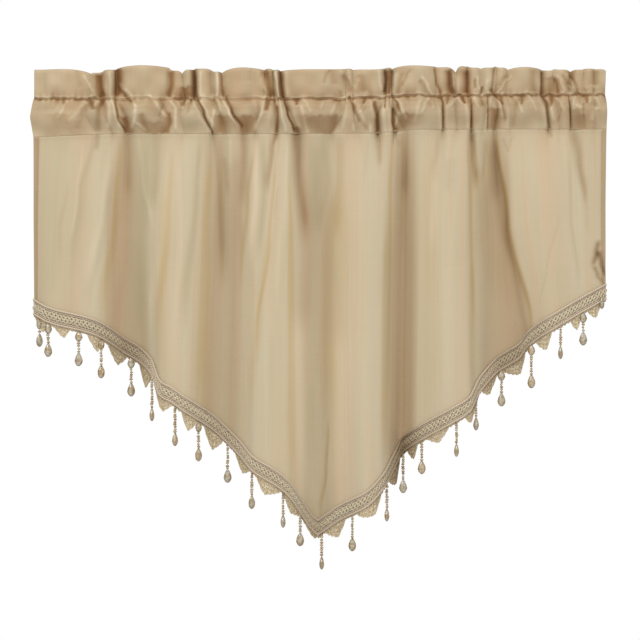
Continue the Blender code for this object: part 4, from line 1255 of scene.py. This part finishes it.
def cut_bead(rings, sides, material, turn, slim):
    """A faceted bead about its own upright axis: rings of (height, half width) in mm."""
    bm = bmesh.new()
    foot, half = rings[0]
    bmesh.ops.create_circle(bm, cap_ends=True, segments=sides, radius=half * MM)
    bmesh.ops.translate(bm, verts=bm.verts, vec=Vector((0, 0, foot * MM)))
    edges = bm.edges[:]
    for (low, half), (high, after) in zip(rings, rings[1:]):
        grown = bmesh.ops.extrude_edge_only(bm, edges=edges)["geom"]
        verts = [g for g in grown if isinstance(g, bmesh.types.BMVert)]
        edges = [g for g in grown if isinstance(g, bmesh.types.BMEdge)]
        grow = after / half
        bmesh.ops.scale(bm, vec=Vector((grow, grow, 1)), verts=verts)
        bmesh.ops.rotate(bm, cent=Vector(), matrix=Matrix.Rotation(math.pi / sides, 3, "Z"), verts=verts)
        bmesh.ops.translate(bm, vec=Vector((0, 0, (high - low) * MM)), verts=verts)
    bmesh.ops.contextual_create(bm, geom=edges)
    quads = [face for face in bm.faces if len(face.verts) == 4]
    bmesh.ops.triangulate(bm, faces=quads)
    bmesh.ops.scale(bm, vec=Vector((1, slim, 1)), verts=bm.verts)
    bmesh.ops.rotate(bm, cent=Vector(), matrix=Matrix.Rotation(turn, 3, "Z"), verts=bm.verts)
    bmesh.ops.recalc_face_normals(bm, faces=bm.faces)
    mesh = bpy.data.meshes.new("bead")
    bm.to_mesh(mesh)
    bm.free()
    spots = read_points(mesh)
    wide = np.abs(spots[:, 0]).max()
    centre, half = (spots[:, 2].min() + spots[:, 2].max()) / 2, np.ptp(spots[:, 2]) / 2
    # Painted shade: the bead is darker towards its sides, top and bottom, where glass would refract its dark
    # surroundings.
    paint(mesh, "rim", (spots[:, 0] / wide) ** 2 + ((spots[:, 2] - centre) / half) ** 4 * 0.7)
    mesh.materials.append(material)
    return mesh


def moved(mesh, spot):
    write_points(mesh, read_points(mesh) + np.asarray(spot))
    return mesh


# The beads: rings of height and half width in mm, facets round them, and how flat the glass is.
DROP_RINGS = [(0.0, 1.6), (2.6, 4.4), (6.6, 5.7), (11.0, 5.2), (15.2, 3.2), (18.4, 1.3)]
UPPER_RINGS = [(0.0, 1.5), (2.2, 3.9), (5.8, 5.4), (9.6, 4.9), (12.4, 3.0), (14.2, 1.4)]
SEED_RINGS = [(-1.5, 1.0), (-0.8, 2.2), (0.8, 2.2), (1.5, 1.0)]
FACETS = 8
FLATNESS = 0.62


class CURTAIN_OT_beads(bpy.types.Operator):
    """Hangs the threads of small beads with their faceted upper beads and drops."""

    bl_idname = "curtain.beads"
    bl_label = "Beads"

    def execute(self, context):
        beads = context.scene.curtain_beads
        rng = np.random.default_rng(7)
        glass = clear_bead("clear_bead", colour(beads.glass), (0.72, 0.69, 0.56), 0.45)
        kinds = [
            clear_bead("seed_bead_cream", (0.74, 0.62, 0.38), (0.64, 0.55, 0.34), 0.1),
            clear_bead("seed_bead_khaki", (0.52, 0.42, 0.22), (0.44, 0.33, 0.16), 0.05),
            clear_bead("seed_bead_brown", (0.33, 0.22, 0.09), (0.38, 0.25, 0.11), 0.0),
        ]
        thread = spun("bead_thread", (0.55, 0.46, 0.32), (0.40, 0.32, 0.2), 2)
        drop_height, upper_height = DROP_RINGS[-1][0], UPPER_RINGS[-1][0]
        for side, (first, last) in RUNS.items():
            faceted, strung = [], []
            for where, row in root_lengths(first, last):
                root = HEM.at(np.array([where]), np.array([BRAID_DROP - 1.0]), np.array([0.6]))[0]
                turn = math.radians(row.turn)
                start = -root[2] / MM
                low = row.low
                spans = [(start + 1.5, low - drop_height)]
                if row.upper:
                    top = start + 2.0
                    bead = cut_bead(UPPER_RINGS, FACETS, glass, turn, FLATNESS)
                    faceted.append(moved(bead, (root[0], root[1], -(top + upper_height) * MM)))
                    spans = [(top + upper_height, low - drop_height)]
                bead = cut_bead(DROP_RINGS, FACETS, glass, turn, FLATNESS)
                faceted.append(moved(bead, (root[0], root[1], -low * MM)))
                strung.append(self.strand(root, start - 2.0, low - 3.0, thread))
                for high, foot in spans:
                    count = max(int((foot - high) / (beads.seed / MM)), 1)
                    for n in range(count):
                        at = high + (foot - high) * (n + 0.5 + rng.uniform(-0.15, 0.15)) / count
                        grow, sway = rng.uniform(0.75, 1.15), rng.uniform(-0.35, 0.35) * MM
                        rings = [(z, half * grow) for z, half in SEED_RINGS]
                        bead = cut_bead(rings, FACETS, kinds[rng.integers(3)], n, 1.0)
                        strung.append(moved(bead, (root[0] + sway, root[1], -at * MM)))
            drops = joined(f"bead_drops_{side}", faceted)
            add_piece(f"bead_drops_{side}", drops, smooth=False)
            threads = joined(f"bead_threads_{side}", strung)
            paint_trim(threads)
            add_piece(f"bead_threads_{side}", threads)
        return {"FINISHED"}

    def strand(self, root, high, low, material):
        """The thread that the beads hang on."""
        count = 9
        drops = np.linspace(high, low, count) * MM
        centre = np.stack([np.full(count, root[0]), np.full(count, root[1]), -drops], axis=-1)
        forward, side = np.tile([0.0, -1.0, 0.0], (count, 1)), np.tile([1.0, 0.0, 0.0], (count, 1))
        return rolled_cord("thread", 5, centre, forward, side, 0.35 * MM, material)


class CURTAIN_OT_sewing(bpy.types.Operator):
    """Sews the stitch lines of the heading and of the side hems."""

    bl_idname = "curtain.sewing"
    bl_label = "Sewing"

    def execute(self, context):
        thread = spun("sewing_thread", (0.55, 0.44, 0.29), (0.36, 0.27, 0.16), 2)
        places = np.linspace(-400.0, 400.0, 1400)
        upper = self.line(heading_row(places, "front pocket", 1.0)[:3], places, -0.35)
        lower = self.line(heading_row(places, "front pocket", 0.02)[:3], places, -0.35)
        meshes = [self.stitched(upper, thread), self.stitched(lower, thread)]
        add_piece("stitches_heading", joined("stitches_heading", meshes))
        meshes = []
        for edge in (-HALF_WIDTH + SIDE_HEM - 1.5, HALF_WIDTH - SIDE_HEM + 1.5):
            shares = np.linspace(0.03, 0.98, 420)
            x, y, drop, _, _ = panel_at(np.full(420, edge), shares)
            meshes.append(self.stitched(self.line((x, y - 0.3, drop), drop, -0.3), thread))
        add_piece("stitches_sides", joined("stitches_sides", meshes))
        return {"FINISHED"}

    def line(self, spots, run, out):
        """A line of lockstitches: the thread dips at each needle hole."""
        x, y, drop = spots
        dip = 0.45 * np.abs(np.sin(run / 2.8 * np.pi)) ** 0.5
        return np.stack([x, y + out - dip + 0.3, -drop], axis=-1) * MM

    def stitched(self, centre, material):
        forward = np.tile([0.0, -1.0, 0.0], (len(centre), 1))
        return rolled_cord("stitch", 5, centre, *cord_sides(centre, forward), 0.28 * MM, material)


# The camera sees what the photo shows: half its width in metres, the pixel rows of the curtain's
# top edge and of the photo's middle, and the size of one pixel in mm.
HALF_VIEW = 0.448
TOP_ROW = 66
MIDDLE_ROW = 320
PIXEL = 1.4


class CURTAIN_OT_stage(bpy.types.Operator):
    """Sets the pale studio, its lights and the camera square on to the cloth."""

    bl_idname = "curtain.stage"
    bl_label = "Stage"

    def execute(self, context):
        stage = context.scene.curtain_stage
        scene = context.scene
        scene.view_settings.view_transform = "Standard"
        world = bpy.data.worlds.new("studio")
        scene.world = world
        world.use_nodes = True
        tree = world.node_tree
        back = tree.nodes["Background"]
        back.inputs["Color"].default_value = (1.0, 0.99, 0.97, 1.0)
        back.inputs["Strength"].default_value = stage.ambient
        white = tree.nodes.new("ShaderNodeBackground")
        white.inputs["Color"].default_value = (1.0, 1.0, 1.0, 1.0)
        seen = tree.nodes.new("ShaderNodeLightPath")
        both = tree.nodes.new("ShaderNodeMixShader")
        tree.links.new(seen.outputs["Is Camera Ray"], both.inputs[0])
        tree.links.new(back.outputs[0], both.inputs[1])
        tree.links.new(white.outputs[0], both.inputs[2])
        tree.links.new(both.outputs[0], tree.nodes["World Output"].inputs["Surface"])
        kit = Kit("pale_floor")
        speck = kit.noise(kit.node("ShaderNodeTexCoord", out=3), 3.0)
        kit.set(Base_Color=kit.mix(speck, (0.86, 0.86, 0.85), (0.90, 0.90, 0.89)), Roughness=0.8)
        bm = bmesh.new()
        bmesh.ops.create_grid(bm, x_segments=2, y_segments=2, size=4.0)
        bmesh.ops.translate(bm, vec=Vector((0, 0, -stage.floor)), verts=bm.verts)
        mesh = bpy.data.meshes.new("floor")
        bm.to_mesh(mesh)
        bm.free()
        mesh.materials.append(kit.material)
        floor = bpy.data.objects.new("floor", mesh)
        scene.collection.objects.link(floor)
        self.light(scene, "key_light", stage.key, 1.8, (-0.5, -2.0, 1.7))
        self.light(scene, "side_light", stage.side, 1.0, (2.4, -1.6, 0.2))
        camera = bpy.data.cameras.new("camera")
        camera.sensor_width = 36.0
        camera.lens = camera.sensor_width / 2 / (HALF_VIEW / stage.distance)
        camera.clip_end = 50.0
        eye = bpy.data.objects.new("camera", camera)
        eye.location = (0.0, -stage.distance, (TOP_ROW - MIDDLE_ROW) * PIXEL * MM)
        eye.rotation_euler = (math.pi / 2, 0.0, 0.0)
        scene.collection.objects.link(eye)
        scene.camera = eye
        return {"FINISHED"}

    def light(self, scene, name, power, size, spot):
        lamp = bpy.data.lights.new(name, "AREA")
        lamp.energy, lamp.size, lamp.color = power, size, (1.0, 0.98, 0.94)
        obj = bpy.data.objects.new(name, lamp)
        obj.location = spot
        aim = Vector((0.0, 0.0, -0.3)) - Vector(spot)
        obj.rotation_euler = aim.to_track_quat("-Z", "Y").to_euler()
        scene.collection.objects.link(obj)


class CURTAIN_PT_panel(bpy.types.Panel):
    """The curtain's sizes, colours and pieces."""

    bl_idname = "CURTAIN_PT_panel"
    bl_label = "Short Curtain"
    bl_space_type = "VIEW_3D"
    bl_region_type = "UI"
    bl_category = "Curtain"

    def draw(self, context):
        for title, group in GROUPS.items():
            box = self.layout.box()
            box.label(text=title)
            for name in getattr(context.scene, group).bl_rna.properties.keys():
                if name not in ("rna_type", "name"):
                    box.prop(getattr(context.scene, group), name)
        for step in STEPS:
            self.layout.operator(step.bl_idname)


GROUPS = {
    "Cloth": "curtain_cloth",
    "Trim": "curtain_trim",
    "Beads": "curtain_beads",
    "Stage": "curtain_stage",
}
STEPS = (
    CURTAIN_OT_stage,
    CURTAIN_OT_panel,
    CURTAIN_OT_heading,
    CURTAIN_OT_braid,
    CURTAIN_OT_lace,
    CURTAIN_OT_beads,
    CURTAIN_OT_sewing,
)
SETTINGS = (CurtainClothSettings, CurtainTrimSettings, CurtainBeadSettings, CurtainStageSettings)


def register():
    for cls in (*SETTINGS, *STEPS, CURTAIN_PT_panel):
        bpy.utils.register_class(cls)
    for name, cls in zip(GROUPS.values(), SETTINGS):
        setattr(bpy.types.Scene, name, bpy.props.PointerProperty(type=cls))


def unregister():
    for name in GROUPS.values():
        delattr(bpy.types.Scene, name)
    for cls in (CURTAIN_PT_panel, *reversed(STEPS), *reversed(SETTINGS)):
        bpy.utils.unregister_class(cls)


def main():
    register()
    for step in STEPS:
        group, name = step.bl_idname.split(".")
        getattr(getattr(bpy.ops, group), name)()
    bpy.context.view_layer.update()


if __name__ == "__main__":
    main()
